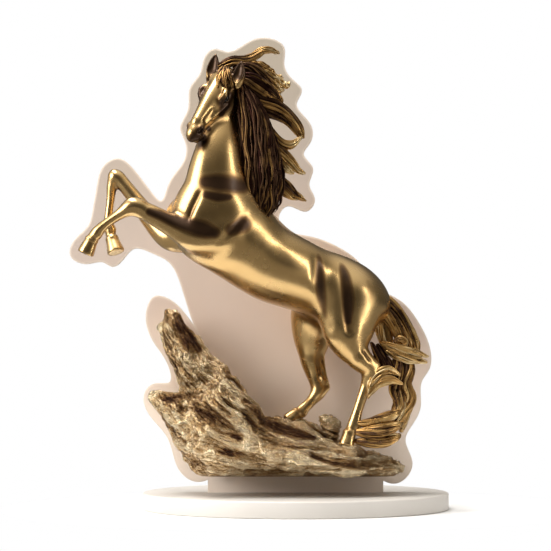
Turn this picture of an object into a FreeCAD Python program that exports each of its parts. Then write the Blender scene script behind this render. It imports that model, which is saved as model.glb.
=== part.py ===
"""Desk statuette: a rearing horse in cast bronze on a craggy bronze base.

The casting stands in front of a contour-cut tinted acrylic panel.  The panel's tongue drops into
a blind slot in a round frosted acrylic base, and lifts out of it again.

Frame: millimetres, +Z up, origin at the centre of the base's underside.  The horse faces -X and
its left flank faces -Y, so "near" means the -Y side and "far" the +Y side, next to the panel.
"""
import FreeCAD, Part
import math
import os

from FreeCAD import Vector as V

os.makedirs("parts", exist_ok=True)

# ---------------------------------------------------------------- driving dimensions
DISC_D = 110.0  # round base
DISC_T = 6.0
DISC_CHAMFER = 0.4
PANEL_T = 4.0  # contour panel
NECK_W = 63.0  # the panel's wide neck, above the base
TONGUE_W = 60.0  # the part of the neck that enters the slot
SLOT_DEPTH = 4.5
SLOT_CLEARANCE = 0.1  # all round the tongue
WALL = 2.0  # wall of the hollow body casting
PIN_R = 1.0  # locating pins and hoof studs
PIN_LENGTH = 8.0
SCREW_R = 1.5  # M3 screws that hold the crag to the panel
SCREW_HEAD_R = 2.75
SCREW_HEAD_H = 1.65
SCREW_KEY_R = 1.1  # hexagon socket in the head, across the corners
SCREW_BITE = 7.0  # thread in the crag
SCREW_CLEARANCE = 0.2
HOOF_COLLAR = 0.8  # how far each hoof's collar reaches up round the leg's end

PANEL_FRONT = -PANEL_T / 2
DISC_R = DISC_D / 2
RING_POINTS = 12  # points of the spline through each station of a casting

# The horse's own directions.
BODY_SIDE = V(-0.36, 0.93, 0)  # from its left to its right
HEAD_ALONG = V(-0.42, -0.60, -0.68)  # from the poll to the lips
HEAD_SIDE = V(-0.880, 0.447, 0.149)  # from its left eye to its right eye
HEAD_UP = V(-0.215, -0.661, 0.716)  # out of the forehead
POLL = V(-25.4, -42.0, 153.6)
DEPTH = V(0, 1, 0)


# ---------------------------------------------------------------- shape helpers
def ring(centre, along, side, half_w, half_h):
    """A closed spline in the plane square to along: half_w along side, half_h across it."""
    n = V(along).normalize()
    s = (side - n * side.dot(n)).normalize()
    u = n.cross(s)
    step = 2 * math.pi / RING_POINTS
    points = [
        centre + s * (half_w * math.cos(i * step)) + u * (half_h * math.sin(i * step))
        for i in range(RING_POINTS)
    ]
    curve = Part.BSplineCurve()
    curve.interpolate(Points=points, PeriodicFlag=True)
    return Part.Wire([curve.toShape()])


def skin(stations):
    """A closed solid through stations of (centre, side, half_w, half_h)."""
    centres = [V(*s[0]) for s in stations]
    last = len(stations) - 1
    rings = []
    for i, (_, side, half_w, half_h) in enumerate(stations):
        along = centres[min(i + 1, last)] - centres[max(i - 1, 0)]
        rings.append(ring(centres[i], along, side, half_w, half_h))
    return solid(Part.makeLoft(rings, True, False))


def limb(path, side=DEPTH):
    """A round tapered limb through (x, y, z, radius) points."""
    return skin([((x, y, z), side, r, r) for x, y, z, r in path])


def crag(layers):
    """A faceted rock through layers of (y, [(x, z), ...]), each with as many corners."""
    wires = [Part.makePolygon([V(x, y, z) for x, z in outline + outline[:1]]) for y, outline in layers]
    return solid(Part.makeLoft(wires, True, True))


def shrunk(outline, centre, factor):
    """The outline drawn in towards a centre, for a rock's nearer layers."""
    cx, cz = centre
    return [(cx + (x - cx) * factor, cz + (z - cz) * factor) for x, z in outline]


def solid(shape):
    """The shape's outward-facing solid."""
    made = Part.Solid(shape.Shells[0])
    if made.Volume < 0:
        made.reverse()
    return made


def cylinder(start, end, radius):
    """A round bar between two points."""
    along = end - start
    return Part.makeCylinder(radius, along.Length, start, along)


def trimmed(shape, *others):
    """The largest solid of the shape left when its neighbours are cut away."""
    left = shape
    for other in others:
        left = left.cut(other)
    return max(left.Solids, key=lambda s: s.Volume)


def on_head(along, side, up):
    """A point on the head: along from the poll to the lips, side to its right, up from the brow line."""
    return POLL + HEAD_ALONG * along + HEAD_SIDE * side + HEAD_UP * up


# ---------------------------------------------------------------- base and panel
def base_disc():
    """Frosted disc with a blind slot for the panel's tongue."""
    disc = Part.makeCylinder(DISC_R, DISC_T)
    disc = disc.makeChamfer(DISC_CHAMFER, [e for e in disc.Edges if isinstance(e.Curve, Part.Circle)])
    width = TONGUE_W + 2 * SLOT_CLEARANCE
    depth = PANEL_T + 2 * SLOT_CLEARANCE
    slot = Part.makeBox(width, depth, SLOT_DEPTH, V(-width / 2, -depth / 2, DISC_T - SLOT_DEPTH))
    return disc.cut(slot)


# The panel's outline stands about 4 mm outside the statue, clockwise from the neck's left corner
# up to the sharp notch between the forelegs and the crag.
OUTLINE_LEFT = [
    (-38, 10.5), (-41.5, 13.5), (-46, 25.5), (-52, 33), (-54.5, 41), (-51, 45), (-45.5, 45.5),
    (-46.5, 53), (-50.5, 59), (-53.5, 72), (-50.5, 76.5), (-45.5, 75.5), (-41, 71.8), (-36.5, 66),
]
# From the notch round the forelegs, head, mane, back and tail to the neck's right corner.
OUTLINE_RIGHT = [
    (-39, 73), (-41.5, 81), (-45.5, 88.5), (-51.5, 91.8), (-58, 93.5), (-63, 88.5), (-66, 87), (-69, 88.5),
    (-75, 88), (-81, 91), (-80, 96), (-74.5, 102), (-73, 107), (-71.5, 116), (-68.5, 124),
    (-63.5, 126), (-58.5, 122.5), (-51.5, 113.5), (-48.5, 110.8), (-46, 116), (-40, 125.5),
    (-39.5, 131), (-41.5, 137), (-38.8, 143.5), (-38, 151.5), (-34.5, 156.5), (-32.5, 163),
    (-29, 165.5), (-25, 164.5), (-17, 168), (-10.5, 169.5), (-4, 166), (-4, 160), (-1, 154.5),
    (2.3, 150.5), (0.5, 146), (5, 139), (5.5, 132), (3, 127.5), (6.3, 122.5), (5, 116.5),
    (7, 111), (4, 107), (-3, 108.8), (-6, 104.5), (-3, 100.2), (5, 98), (15, 94.3), (24, 87.3),
    (29, 80), (37.5, 75), (44, 67.5), (48.5, 57), (48, 50), (45.5, 46), (45, 37), (42.5, 31),
    (39.5, 25), (42, 16.5), (38.5, 10.2),
]


def outline_curve(points):
    """A smooth cut line through points of the panel's outline."""
    curve = Part.BSplineCurve()
    curve.interpolate(Points=[V(x, PANEL_FRONT, z) for x, z in points])
    return curve.toShape()


def back_panel():
    """Contour-cut panel: a spline outline with a straight neck, and a narrower tongue below it."""
    neck, tongue = NECK_W / 2, TONGUE_W / 2
    tongue_bottom = DISC_T - SLOT_DEPTH
    left = [(-neck, 10.5)] + OUTLINE_LEFT
    right = OUTLINE_LEFT[-1:] + OUTLINE_RIGHT + [(neck, 10.2)]
    corners = [
        (neck, 10.2), (neck, DISC_T), (tongue, DISC_T), (tongue, tongue_bottom),
        (-tongue, tongue_bottom), (-tongue, DISC_T), (-neck, DISC_T), (-neck, 10.5),
    ]
    straight = Part.makePolygon([V(x, PANEL_FRONT, z) for x, z in corners])
    edges = [outline_curve(left), outline_curve(right)] + straight.Edges
    face = Part.Face(Part.Wire(Part.__sortEdges__(edges)))
    plate = face.extrude(V(0, PANEL_T, 0))
    for x, z in SCREW_PLACES:
        start = V(x, PANEL_FRONT, z)
        plate = plate.cut(cylinder(start, start + V(0, PANEL_T, 0), SCREW_R + SCREW_CLEARANCE))
    return plate


# ---------------------------------------------------------------- fasteners
SCREW_PLACES = [(-28.0, 24.0), (0.0, 22.0), (20.0, 18.5)]


def screw_shank(place):
    x, z = place
    back = V(x, PANEL_T / 2, z)
    return cylinder(back, back - V(0, PANEL_T + SCREW_BITE, 0), SCREW_R)


def screw(place):
    """Button-head screw, driven from behind the panel into the crag."""
    x, z = place
    back = V(x, PANEL_T / 2, z)
    head = cylinder(back, back + V(0, SCREW_HEAD_H, 0), SCREW_HEAD_R)
    rim = [e for e in head.Edges if isinstance(e.Curve, Part.Circle) and e.Curve.Center.y > PANEL_T / 2 + 1]
    head = head.makeFillet(SCREW_HEAD_H * 0.6, rim)
    key = [
        back + V(SCREW_KEY_R * math.cos(i * math.pi / 3), SCREW_HEAD_H, SCREW_KEY_R * math.sin(i * math.pi / 3))
        for i in range(7)
    ]
    socket = Part.Face(Part.makePolygon(key)).extrude(V(0, -SCREW_HEAD_H * 0.6, 0))
    return head.fuse(screw_shank(place)).removeSplitter().cut(socket)


# Pins: the middle of each pin, on the seam, and the way it points.
JOINT_PINS = [
    ((-34.2, -48.2, 95.2), (-0.86, -0.36, 0.36)),  # left foreleg
    ((-37.0, -30.7, 98.5), (-0.85, 0.50, 0.0)),  # right foreleg
    ((16.8, -26.7, 66.9), (-0.28, -0.34, -0.90)),  # left hind leg
    ((7.9, -11.0, 71.4), (-0.55, 0.10, -0.83)),  # right hind leg
    ((29.3, -15.8, 73.6), (0.94, -0.09, -0.34)),  # tail
    ((-23.4, -39.8, 109.1), (-0.1, -0.1, 1.0)),  # neck
    ((-23.2, -39.4, 147.5), (-0.2, -0.2, 1.0)),  # head
]
HOOF_STUDS = [
    ((17.2, -28.0, 23.6), (0.0, 0.0, 1.0)),  # left hind hoof
    ((-3.6, -14.6, 31.5), (0.78, 0.21, 0.60)),  # right hind hoof
]


def pin(place):
    middle, way = V(*place[0]), V(*place[1]).normalize()
    return cylinder(middle - way * (PIN_LENGTH / 2), middle + way * (PIN_LENGTH / 2), PIN_R)


# ---------------------------------------------------------------- crag under the horse
CRAG_BACK = PANEL_FRONT
MAIN_OUTLINE = [
    (-39.5, 42), (-32.5, 45), (-26, 50.5), (-21.5, 47.5), (-17, 41), (-11, 34.5), (-3, 32),
    (5, 30.5), (14, 25), (24, 22), (34, 18.5), (37.5, 15.5), (30, 12.8), (-31, 12.8),
    (-37, 15), (-42, 26),
]
SPIRE_OUTLINE = [
    (-46.5, 72.5), (-42.5, 69.5), (-38, 65), (-35, 61.5), (-32.5, 57), (-26, 51.5),
    (-33, 40), (-40, 43), (-42, 53.5), (-46.5, 58.5), (-48, 66),
]
LEDGE_OUTLINE = [
    (-51.5, 41.5), (-48.5, 42.5), (-40, 41.5), (-34, 32), (-33, 20), (-38.5, 18), (-46.5, 30.5),
]
CHIP_OUTLINE = [(8.5, 34), (13, 34), (15.5, 31), (15.5, 22), (9.5, 25)]


def crag_main():
    """Long low crag that the hind hooves stand on, deepest under the near hoof."""
    middle = (-2, 20)
    return crag([
        (CRAG_BACK, MAIN_OUTLINE),
        (-20, MAIN_OUTLINE),
        (-33, shrunk(MAIN_OUTLINE, middle, 0.90)),
        (-38, shrunk(MAIN_OUTLINE, middle, 0.74)),
    ])


def crag_spire():
    """Leaning spire in front of the horse's chest."""
    middle = (-38, 52)
    return crag([
        (CRAG_BACK - 3, shrunk(SPIRE_OUTLINE, middle, 0.85)),
        (-9, SPIRE_OUTLINE),
        (-16, shrunk(SPIRE_OUTLINE, middle, 0.93)),
        (-23, shrunk(SPIRE_OUTLINE, middle, 0.6)),
    ])


def crag_ledge():
    """Ledge that juts out at the foot of the spire."""
    middle = (-40, 32)
    return crag([
        (CRAG_BACK - 3, shrunk(LEDGE_OUTLINE, middle, 0.85)),
        (-12, LEDGE_OUTLINE),
        (-21, shrunk(LEDGE_OUTLINE, middle, 0.92)),
        (-29, shrunk(LEDGE_OUTLINE, middle, 0.6)),
    ])


def crag_chip():
    """Upright flake between the hind hooves."""
    middle = (12, 28)
    return crag([
        (-15, shrunk(CHIP_OUTLINE, middle, 0.7)),
        (-19, CHIP_OUTLINE),
        (-23, shrunk(CHIP_OUTLINE, middle, 0.7)),
    ])


# ---------------------------------------------------------------- horse castings
TORSO = [
    ((27.0, -15.0, 71.0), BODY_SIDE, 6.5, 6.0),
    ((24.0, -16.5, 73.2), BODY_SIDE, 10.5, 9.5),
    ((19.0, -18.2, 75.5), BODY_SIDE, 12.6, 11.6),
    ((5.5, -24.5, 81.5), BODY_SIDE, 12.2, 12.2),
    ((-7.5, -30.5, 87.5), BODY_SIDE, 13.4, 13.0),
    ((-19.0, -36.0, 93.5), BODY_SIDE, 12.6, 12.8),
    ((-28.0, -40.0, 99.0), BODY_SIDE, 11.2, 11.4),
    ((-33.5, -42.5, 103.0), BODY_SIDE, 8.4, 8.6),
    ((-36.5, -44.0, 105.5), BODY_SIDE, 4.6, 5.0),
]
NECK_SIDE_LOW = V(-0.48, 0.88, 0)
NECK_SIDE_MID = V(-0.66, 0.75, 0.05)
NECK = [
    ((-21.0, -37.0, 96.0), BODY_SIDE, 9.5, 15.0),
    ((-23.0, -39.0, 105.0), NECK_SIDE_LOW, 10.0, 16.0),
    ((-24.0, -41.0, 115.5), NECK_SIDE_LOW, 8.6, 13.8),
    ((-23.3, -41.3, 126.5), NECK_SIDE_MID, 7.0, 11.0),
    ((-22.5, -40.0, 137.5), NECK_SIDE_MID, 5.8, 8.6),
    ((-23.0, -39.0, 147.5), HEAD_SIDE, 4.6, 6.4),
]
# Head stations: distance from the poll, half width, half depth.
HEAD = [
    (-1.5, 2.6, 2.4), (1.5, 4.4, 4.0), (5.5, 5.2, 5.8), (9.5, 5.4, 6.8), (13.0, 4.4, 5.9),
    (16.5, 3.3, 4.3), (20.5, 2.8, 3.5), (24.0, 3.0, 3.6), (26.0, 2.7, 3.1), (27.2, 1.6, 1.8),
]
EYE_ALONG, EYE_SIDE, EYE_UP, EYE_R = 9.0, 3.95, -2.9, 1.85


def torso():
    """Hollow body casting from the breast to the buttocks."""
    outer = skin(TORSO)
    core = skin([(c, s, w - WALL, h - WALL) for c, s, w, h in TORSO[1:-1]])
    return outer.cut(core), outer


def neck(outer_torso):
    return trimmed(skin(NECK), outer_torso)


def head(neck_casting):
    """Head casting, with a round socket for each eye."""
    stations = [(tuple(on_head(a, 0, -h)), HEAD_SIDE, w, h) for a, w, h in HEAD]
    return trimmed(skin(stations), neck_casting, eye(1), eye(-1))


def eye(side):
    return Part.makeSphere(EYE_R, on_head(EYE_ALONG, EYE_SIDE * side, EYE_UP))


def ear(base, tip, lean):
    """Leaf-shaped ear from a round base to a point."""
    axis = tip - base
    stations = [(0.0, 1.4, 1.2), (0.3, 2.1, 1.3), (0.62, 1.8, 1.0), (1.0, 0.25, 0.2)]
    return skin([(tuple(base + axis * t), lean, w, h) for t, w, h in stations])


def forelock():
    """Hair that falls from the poll between the ears and over the brow."""
    return skin([
        (tuple(on_head(-1.0, -0.5, 0.6)), HEAD_SIDE, 1.8, 1.2),
        (tuple(on_head(2.0, -0.8, 0.9)), HEAD_SIDE, 2.6, 1.3),
        (tuple(on_head(5.0, -1.6, 0.7)), HEAD_SIDE, 2.2, 1.0),
        (tuple(on_head(8.0, -2.6, 0.2)), HEAD_SIDE, 0.6, 0.4),
    ])


# Limbs, from inside the body to the fetlock: x, y, z, radius.
NEAR_FORELEG = [
    (-25.0, -44.5, 95.5, 6.2), (-32.5, -47.5, 94.5, 5.4), (-41.0, -51.0, 98.0, 3.9),
    (-48.5, -52.0, 102.5, 3.0), (-54.5, -52.0, 105.6, 2.9), (-59.5, -51.8, 103.5, 2.2),
    (-64.0, -51.2, 100.2, 2.0), (-68.2, -50.5, 96.8, 2.3), (-69.8, -50.2, 94.4, 1.9),
]
FAR_FORELEG = [
    (-31.0, -35.0, 99.0, 6.0), (-36.5, -31.0, 98.5, 6.0), (-41.5, -28.8, 98.5, 5.7), (-47.5, -27.0, 100.0, 4.6),
    (-54.0, -25.0, 107.0, 3.7), (-60.0, -24.2, 115.0, 2.9), (-63.5, -24.0, 117.8, 2.8),
    (-64.9, -24.0, 114.0, 2.2), (-65.6, -24.0, 108.0, 1.8), (-66.6, -24.2, 101.5, 2.1),
    (-65.8, -24.8, 98.2, 1.8),
]
NEAR_HIND_LEG = [
    (19.0, -24.0, 74.0, 8.0), (16.5, -27.0, 66.0, 7.0), (18.0, -27.5, 60.0, 5.2),
    (22.0, -27.0, 54.5, 3.6), (25.3, -26.2, 49.6, 2.9), (24.8, -26.0, 44.5, 2.2),
    (22.8, -26.2, 38.0, 2.0), (20.6, -26.5, 32.0, 2.3), (19.2, -27.0, 28.8, 2.1),
]
FAR_HIND_LEG = [
    (11.0, -11.5, 76.0, 7.6), (7.0, -10.8, 70.0, 7.4), (4.8, -10.2, 63.0, 6.4),
    (4.6, -10.2, 56.5, 4.6), (6.8, -10.6, 49.0, 3.0), (8.6, -11.0, 43.0, 2.7),
    (6.6, -11.8, 39.8, 2.1), (3.6, -12.6, 37.0, 2.0), (0.8, -13.2, 35.2, 2.2),
]


def hoof(coronet, sole, start_r, sole_r):
    """Hoof that flares from a collar round the end of the leg to a flat sole."""
    top, bottom = V(*coronet), V(*sole)
    top += (top - bottom).normalize() * HOOF_COLLAR
    return limb([(*top, start_r), (*bottom, sole_r)], BODY_SIDE)


NEAR_FORE_HOOF = ((-69.8, -50.2, 94.4), (-72.2, -50.0, 90.0), 2.3, 3.2)
FAR_FORE_HOOF = ((-65.8, -24.8, 98.2), (-63.2, -26.0, 92.2), 2.3, 3.2)
NEAR_HIND_HOOF = ((19.2, -27.0, 28.8), (17.2, -28.0, 23.6), 2.6, 3.3)
FAR_HIND_HOOF = ((0.8, -13.2, 35.2), (-3.0, -14.4, 32.2), 2.6, 2.9)

# Hair locks: x, y, z, radius from root to tip.
LOCKS = {
    "mane_streamer": [
        (-21.5, -37.0, 154.5, 2.2), (-17.0, -36.0, 158.0, 1.8), (-14.5, -36.0, 159.8, 1.4),
        (-11.5, -35.5, 161.6, 1.2), (-8.5, -35.0, 161.5, 0.9), (-5.5, -34.5, 160.5, 0.3),
    ],
    "mane_crown": [
        (-20.5, -37.5, 149.5, 3.6), (-16.0, -37.0, 150.0, 4.2), (-12.0, -36.5, 148.0, 3.6),
        (-8.5, -36.0, 146.5, 2.2), (-6.0, -36.0, 145.5, 0.5),
    ],
    "mane_tuft": [
        (-16.5, -36.0, 154.5, 2.4), (-12.5, -36.0, 154.0, 2.4), (-9.5, -35.5, 152.5, 2.4),
        (-6.0, -35.0, 150.0, 2.2), (-2.5, -34.5, 148.0, 0.5),
    ],
    "mane_loop": [
        (-17.0, -37.5, 143.5, 3.4), (-11.5, -37.0, 142.5, 3.8), (-6.5, -36.5, 140.5, 3.2),
        (-2.0, -36.0, 137.3, 2.3), (1.0, -35.5, 133.8, 1.6), (2.3, -35.0, 130.3, 0.6),
    ],
    "mane_return": [
        (-13.5, -38.0, 138.5, 2.6), (-10.5, -38.0, 135.0, 2.0), (-7.5, -38.0, 131.5, 1.8),
        (-4.0, -37.5, 129.0, 1.8), (-1.0, -37.0, 129.0, 1.3), (1.0, -36.8, 129.6, 0.4),
    ],
    "mane_mid_flick": [
        (-12.0, -38.0, 127.5, 3.4), (-9.0, -38.0, 126.5, 3.2), (-5.5, -37.5, 124.5, 2.6),
        (-2.0, -37.0, 122.5, 2.0), (0.5, -36.5, 120.5, 1.2), (3.0, -36.0, 119.5, 0.3),
    ],
    "mane_fall": [
        (-16.0, -40.5, 141.0, 2.6), (-14.0, -41.0, 134.0, 4.0), (-12.5, -41.0, 126.0, 4.8),
        (-11.0, -41.0, 118.0, 5.0), (-10.0, -41.0, 111.0, 4.6), (-10.5, -41.0, 106.0, 3.2),
        (-13.0, -41.5, 102.5, 0.8),
    ],
    "mane_low_flick": [
        (-8.0, -38.0, 117.0, 2.4), (-5.5, -37.5, 115.0, 2.2), (-2.0, -37.0, 113.0, 1.8),
        (0.5, -36.5, 111.0, 1.2), (3.5, -36.0, 110.0, 0.3),
    ],
    "tail_dock": [
        (25.5, -15.5, 75.0, 2.6), (31.0, -16.0, 73.0, 3.8), (35.5, -16.0, 69.0, 4.2),
        (38.5, -17.0, 63.5, 4.0), (40.5, -18.0, 59.0, 3.2), (41.0, -18.5, 55.5, 1.6),
    ],
    "tail_inner": [
        (26.5, -14.0, 71.5, 2.2), (29.0, -14.0, 68.0, 2.8), (30.8, -14.5, 63.5, 2.6),
        (31.8, -15.5, 59.5, 2.0), (32.0, -16.5, 56.5, 0.9),
    ],
    "tail_spray": [
        (31.0, -22.5, 58.5, 1.2), (35.5, -22.5, 57.3, 2.8), (40.0, -22.5, 55.5, 2.8),
        (43.5, -22.0, 53.8, 1.7), (46.3, -21.5, 52.5, 0.4),
    ],
    "tail_under": [
        (26.3, -22.5, 59.8, 0.4), (28.0, -23.0, 56.5, 1.6), (29.8, -23.0, 53.0, 2.4),
        (32.0, -23.0, 49.0, 2.8), (34.0, -22.5, 45.5, 2.2),
    ],
    "tail_fall": [
        (37.0, -20.0, 55.0, 3.0), (36.0, -19.5, 50.0, 4.2), (36.5, -19.5, 44.0, 4.4),
        (36.8, -19.5, 38.5, 4.2), (35.0, -19.5, 33.0, 4.0), (31.0, -20.0, 28.0, 3.2),
    ],
    "tail_curl": [
        (35.0, -26.0, 48.0, 1.8), (31.0, -27.0, 47.0, 2.4), (28.0, -28.0, 45.3, 2.2),
        (25.6, -29.5, 43.0, 1.4), (24.5, -30.0, 40.5, 0.4),
    ],
    "tail_fan": [
        (22.0, -23.5, 27.0, 2.2), (25.5, -24.0, 27.0, 3.6), (29.5, -24.5, 26.5, 4.4),
        (33.5, -24.0, 26.0, 3.6), (36.8, -23.5, 26.0, 1.6),
    ],
}


# ---------------------------------------------------------------- assembly
def build():
    """Every node's shape, by name."""
    nodes = {}
    shanks = [screw_shank(place) for place in SCREW_PLACES]
    pins = Part.makeCompound([pin(place) for place in JOINT_PINS])
    studs = Part.makeCompound([pin(place) for place in HOOF_STUDS])

    nodes["base_disc"] = base_disc()
    nodes["back_panel"] = back_panel()
    nodes["panel_screws"] = Part.makeCompound([screw(place) for place in SCREW_PLACES])

    main = trimmed(crag_main(), *shanks)
    spire = trimmed(crag_spire(), main)
    ledge = trimmed(crag_ledge(), main, spire)
    chip = trimmed(crag_chip(), main)
    crags = [main, spire, ledge, chip]
    nodes.update(crag_main=main, crag_spire=spire, crag_ledge=ledge, crag_chip=chip)

    body, outer_body = torso()
    neck_casting = neck(outer_body)
    head_casting = head(neck_casting)
    nodes.update(torso=body, neck=neck_casting, head=head_casting)
    nodes["left_eye"] = eye(-1)
    nodes["right_eye"] = eye(1)
    ear_lean = HEAD_SIDE
    left_ear = ear(V(-20.2, -43.4, 149.6), V(-18.9, -43.4, 156.8), ear_lean)
    right_ear = ear(V(-29.6, -39.4, 151.2), V(-27.9, -39.0, 159.8), ear_lean)
    skull = [head_casting, neck_casting, eye(1), eye(-1)]
    nodes["left_ear"] = trimmed(left_ear, *skull)
    nodes["right_ear"] = trimmed(right_ear, *skull)
    nodes["forelock"] = trimmed(forelock(), *skull, nodes["left_ear"], nodes["right_ear"])

    legs = {
        "left_foreleg": (NEAR_FORELEG, NEAR_FORE_HOOF),
        "right_foreleg": (FAR_FORELEG, FAR_FORE_HOOF),
        "left_hind_leg": (NEAR_HIND_LEG, NEAR_HIND_HOOF),
        "right_hind_leg": (FAR_HIND_LEG, FAR_HIND_HOOF),
    }
    for name, (path, foot) in legs.items():
        shoe = trimmed(hoof(*foot), *crags)
        nodes[name] = trimmed(limb(path, BODY_SIDE), outer_body, neck_casting, shoe, *crags)
        nodes[name.replace("leg", "hoof")] = shoe

    done = [nodes[n] for n in nodes if n not in ("base_disc", "back_panel", "panel_screws", "torso")]
    done.append(outer_body)
    for name, path in LOCKS.items():
        lock = trimmed(limb(path), *done)
        nodes[name] = lock
        done.append(lock)

    plain = ("base_disc", "back_panel", "panel_screws")
    for name in [n for n in nodes if n not in plain]:
        nodes[name] = trimmed(nodes[name], pins, studs)
    nodes.update(joint_pins=pins, hoof_studs=studs)
    return nodes


for node, shape in build().items():
    shape.exportStep(f"parts/{node}.step")
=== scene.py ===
import math

import bmesh
import bpy
import numpy as np
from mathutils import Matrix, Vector


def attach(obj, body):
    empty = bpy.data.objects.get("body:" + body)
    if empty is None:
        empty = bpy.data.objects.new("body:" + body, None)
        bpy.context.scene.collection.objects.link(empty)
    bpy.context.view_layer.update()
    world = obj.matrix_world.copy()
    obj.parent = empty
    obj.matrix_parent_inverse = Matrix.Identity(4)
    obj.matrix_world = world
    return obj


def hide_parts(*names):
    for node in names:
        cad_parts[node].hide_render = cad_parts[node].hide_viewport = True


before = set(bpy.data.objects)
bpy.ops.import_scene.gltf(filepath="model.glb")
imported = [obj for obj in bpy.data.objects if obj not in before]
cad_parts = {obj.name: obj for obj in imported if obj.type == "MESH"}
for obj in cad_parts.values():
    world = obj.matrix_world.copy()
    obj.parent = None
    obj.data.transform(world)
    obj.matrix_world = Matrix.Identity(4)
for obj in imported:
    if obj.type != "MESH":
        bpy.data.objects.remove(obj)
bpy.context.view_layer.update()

# The statuette's looks: the cast horse, its hair and the crag as detailed meshes in place of the plain
# CAD castings, the panel and foot with polished edges, and every material.  Shapes are worked out in
# millimetres in the part's own frame (+Z up, the horse faces -X, its left flank faces -Y).

MM = 0.001
FAR = 1e6
FIELD_LIMIT = 8.0  # distances are kept no further out than this
MARGIN, CARVE_MARGIN = 2.5, 1.0  # how far past a shape's own box it is still blended in, or cut away

# The grids that the castings' surfaces are taken from: two corners of each, and their steps.
BODY_BOX = ((-77, -58, 21), (34, 1, 163))
HEAD_BOX = ((-43, -62, 122), (-12, -29, 163))
CRAG_BOX = ((-53, -40, 10.5), (39, 0, 75))
BODY_VOXEL = 0.5
HEAD_VOXEL = 0.25
CRAG_VOXEL = 0.45
BODY_SMOOTHING = 3.0  # square millimetres of blur
HEAD_SMOOTHING = 0.06

# The horse's own directions.
BODY_SIDE = (-0.36, 0.93, 0.0)  # from its left to its right
BODY_FORWARD = (-0.827, -0.319, 0.453)
HEAD_ALONG = (-0.43, -0.48, -0.765)  # from the poll to the lips
HEAD_SIDE = (-0.861, 0.472, 0.188)  # from its left eye to its right eye
POLL = (-25.4, -42.0, 153.6)  # the top of the head, where every place on it is measured from


def unit(v):
    v = np.array(v, float)
    return v / np.linalg.norm(v)


HEAD_UP = np.cross(unit(HEAD_SIDE), unit(HEAD_ALONG))


# ---------------------------------------------------------------- signed distance fields
CORNERS = np.array([(i, j, k) for i in (0, 1) for j in (0, 1) for k in (0, 1)])
EDGES = [(a, b) for a in range(8) for b in range(a + 1, 8) if np.abs(CORNERS[a] - CORNERS[b]).sum() == 1]


def between(grid, cell, share):
    """Values of a repeating grid inside its cells, from the eight corners of each by their shares."""
    out = np.zeros(len(cell), np.float32)
    for corner in CORNERS[:, ::-1]:
        weight = np.prod(np.where(corner, share, 1 - share), axis=1)
        out += weight * grid[tuple(((cell + corner) % grid.shape).T)]
    return out


class Field:
    """Signed distances on a regular grid, in millimetres; shapes are blended in where they lie."""

    def __init__(self, low, high, step):
        self.low = np.array(low, float)
        self.step = step
        self.count = np.ceil((np.array(high) - self.low) / step).astype(int) + 1
        self.d = np.full(self.count, FIELD_LIMIT, np.float32)

    def block(self, low, high):
        """The slices and sparse x, y, z of the part of the grid inside a box."""
        first = np.clip(np.floor((np.array(low) - self.low) / self.step).astype(int), 0, self.count)
        last = np.clip(np.ceil((np.array(high) - self.low) / self.step).astype(int) + 1, 0, self.count)
        slices = tuple(slice(a, b) for a, b in zip(first, last))
        axes = [
            (self.low[i] + self.step * np.arange(first[i], last[i])).astype(np.float32) for i in range(3)
        ]
        x, y, z = axes[0][:, None, None], axes[1][None, :, None], axes[2][None, None, :]
        return slices, x, y, z

    def add(self, shape, blend=0.0):
        """Joins a shape, (distance function, low, high), with a smooth seam blend wide."""
        self.merge(shape, blend, MARGIN, 1)

    def carve(self, shape, blend=0.0):
        """Cuts a shape away with a smooth edge."""
        self.merge(shape, blend, CARVE_MARGIN, -1)

    def merge(self, shape, blend, margin, sign):
        """Blends a shape with what is there when sign is 1, and with the space round it when -1."""
        distance, low, high = shape
        reach = blend + margin
        slices, x, y, z = self.block(np.array(low) - reach, np.array(high) + reach)
        if self.d[slices].size:
            self.d[slices] = sign * smooth_min(sign * self.d[slices], distance(x, y, z), blend)

    def soften(self, times):
        """Evens out creases with a small blur, repeated."""
        for _ in range(times):
            for axis in range(3):
                d = np.swapaxes(self.d, 0, axis)
                d[1:-1] = (d[:-2] + 2 * d[1:-1] + d[2:]) / 4

    def sample(self, points, grid=None):
        """Trilinear values of the field, or of another grid like it, at points."""
        grid = self.d if grid is None else grid
        at = (np.asarray(points) - self.low) / self.step
        at = np.clip(at, 0, self.count - 1.001)
        i = at.astype(int)
        return between(grid, i, (at - i).astype(np.float32))

    def normals(self, points, h=0.6):
        """Outward directions at points, from the field's slope."""
        slope = np.zeros((len(points), 3))
        for axis in range(3):
            o = np.zeros(3)
            o[axis] = h * self.step
            slope[:, axis] = self.sample(points + o) - self.sample(points - o)
        return slope / np.maximum(np.linalg.norm(slope, axis=1, keepdims=True), 1e-9)


def smooth_min(a, b, k):
    if k <= 0:
        return np.minimum(a, b)
    h = np.maximum(k - np.abs(a - b), 0) / k
    return np.minimum(a, b) - h * h * (k / 4)


def spline(stations, steps):
    """A Catmull-Rom curve through rows of numbers, with steps rows from one station to the next."""
    p = np.array(stations, float)
    p = np.vstack([2 * p[0] - p[1], p, 2 * p[-1] - p[-2]])
    rows = []
    for i in range(1, len(p) - 2):
        for t in np.arange(steps) / steps:
            a = 2 * p[i]
            b = (p[i + 1] - p[i - 1]) * t
            c = (2 * p[i - 1] - 5 * p[i] + 4 * p[i + 1] - p[i + 2]) * t * t
            d = (3 * p[i] - p[i - 1] - 3 * p[i + 1] + p[i + 2]) * t**3
            rows.append((a + b + c + d) / 2)
    rows.append(p[-2])
    return np.array(rows)


def project(x, y, z, way):
    """How far x, y, z lie along a direction."""
    return x * way[0] + y * way[1] + z * way[2]


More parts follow.
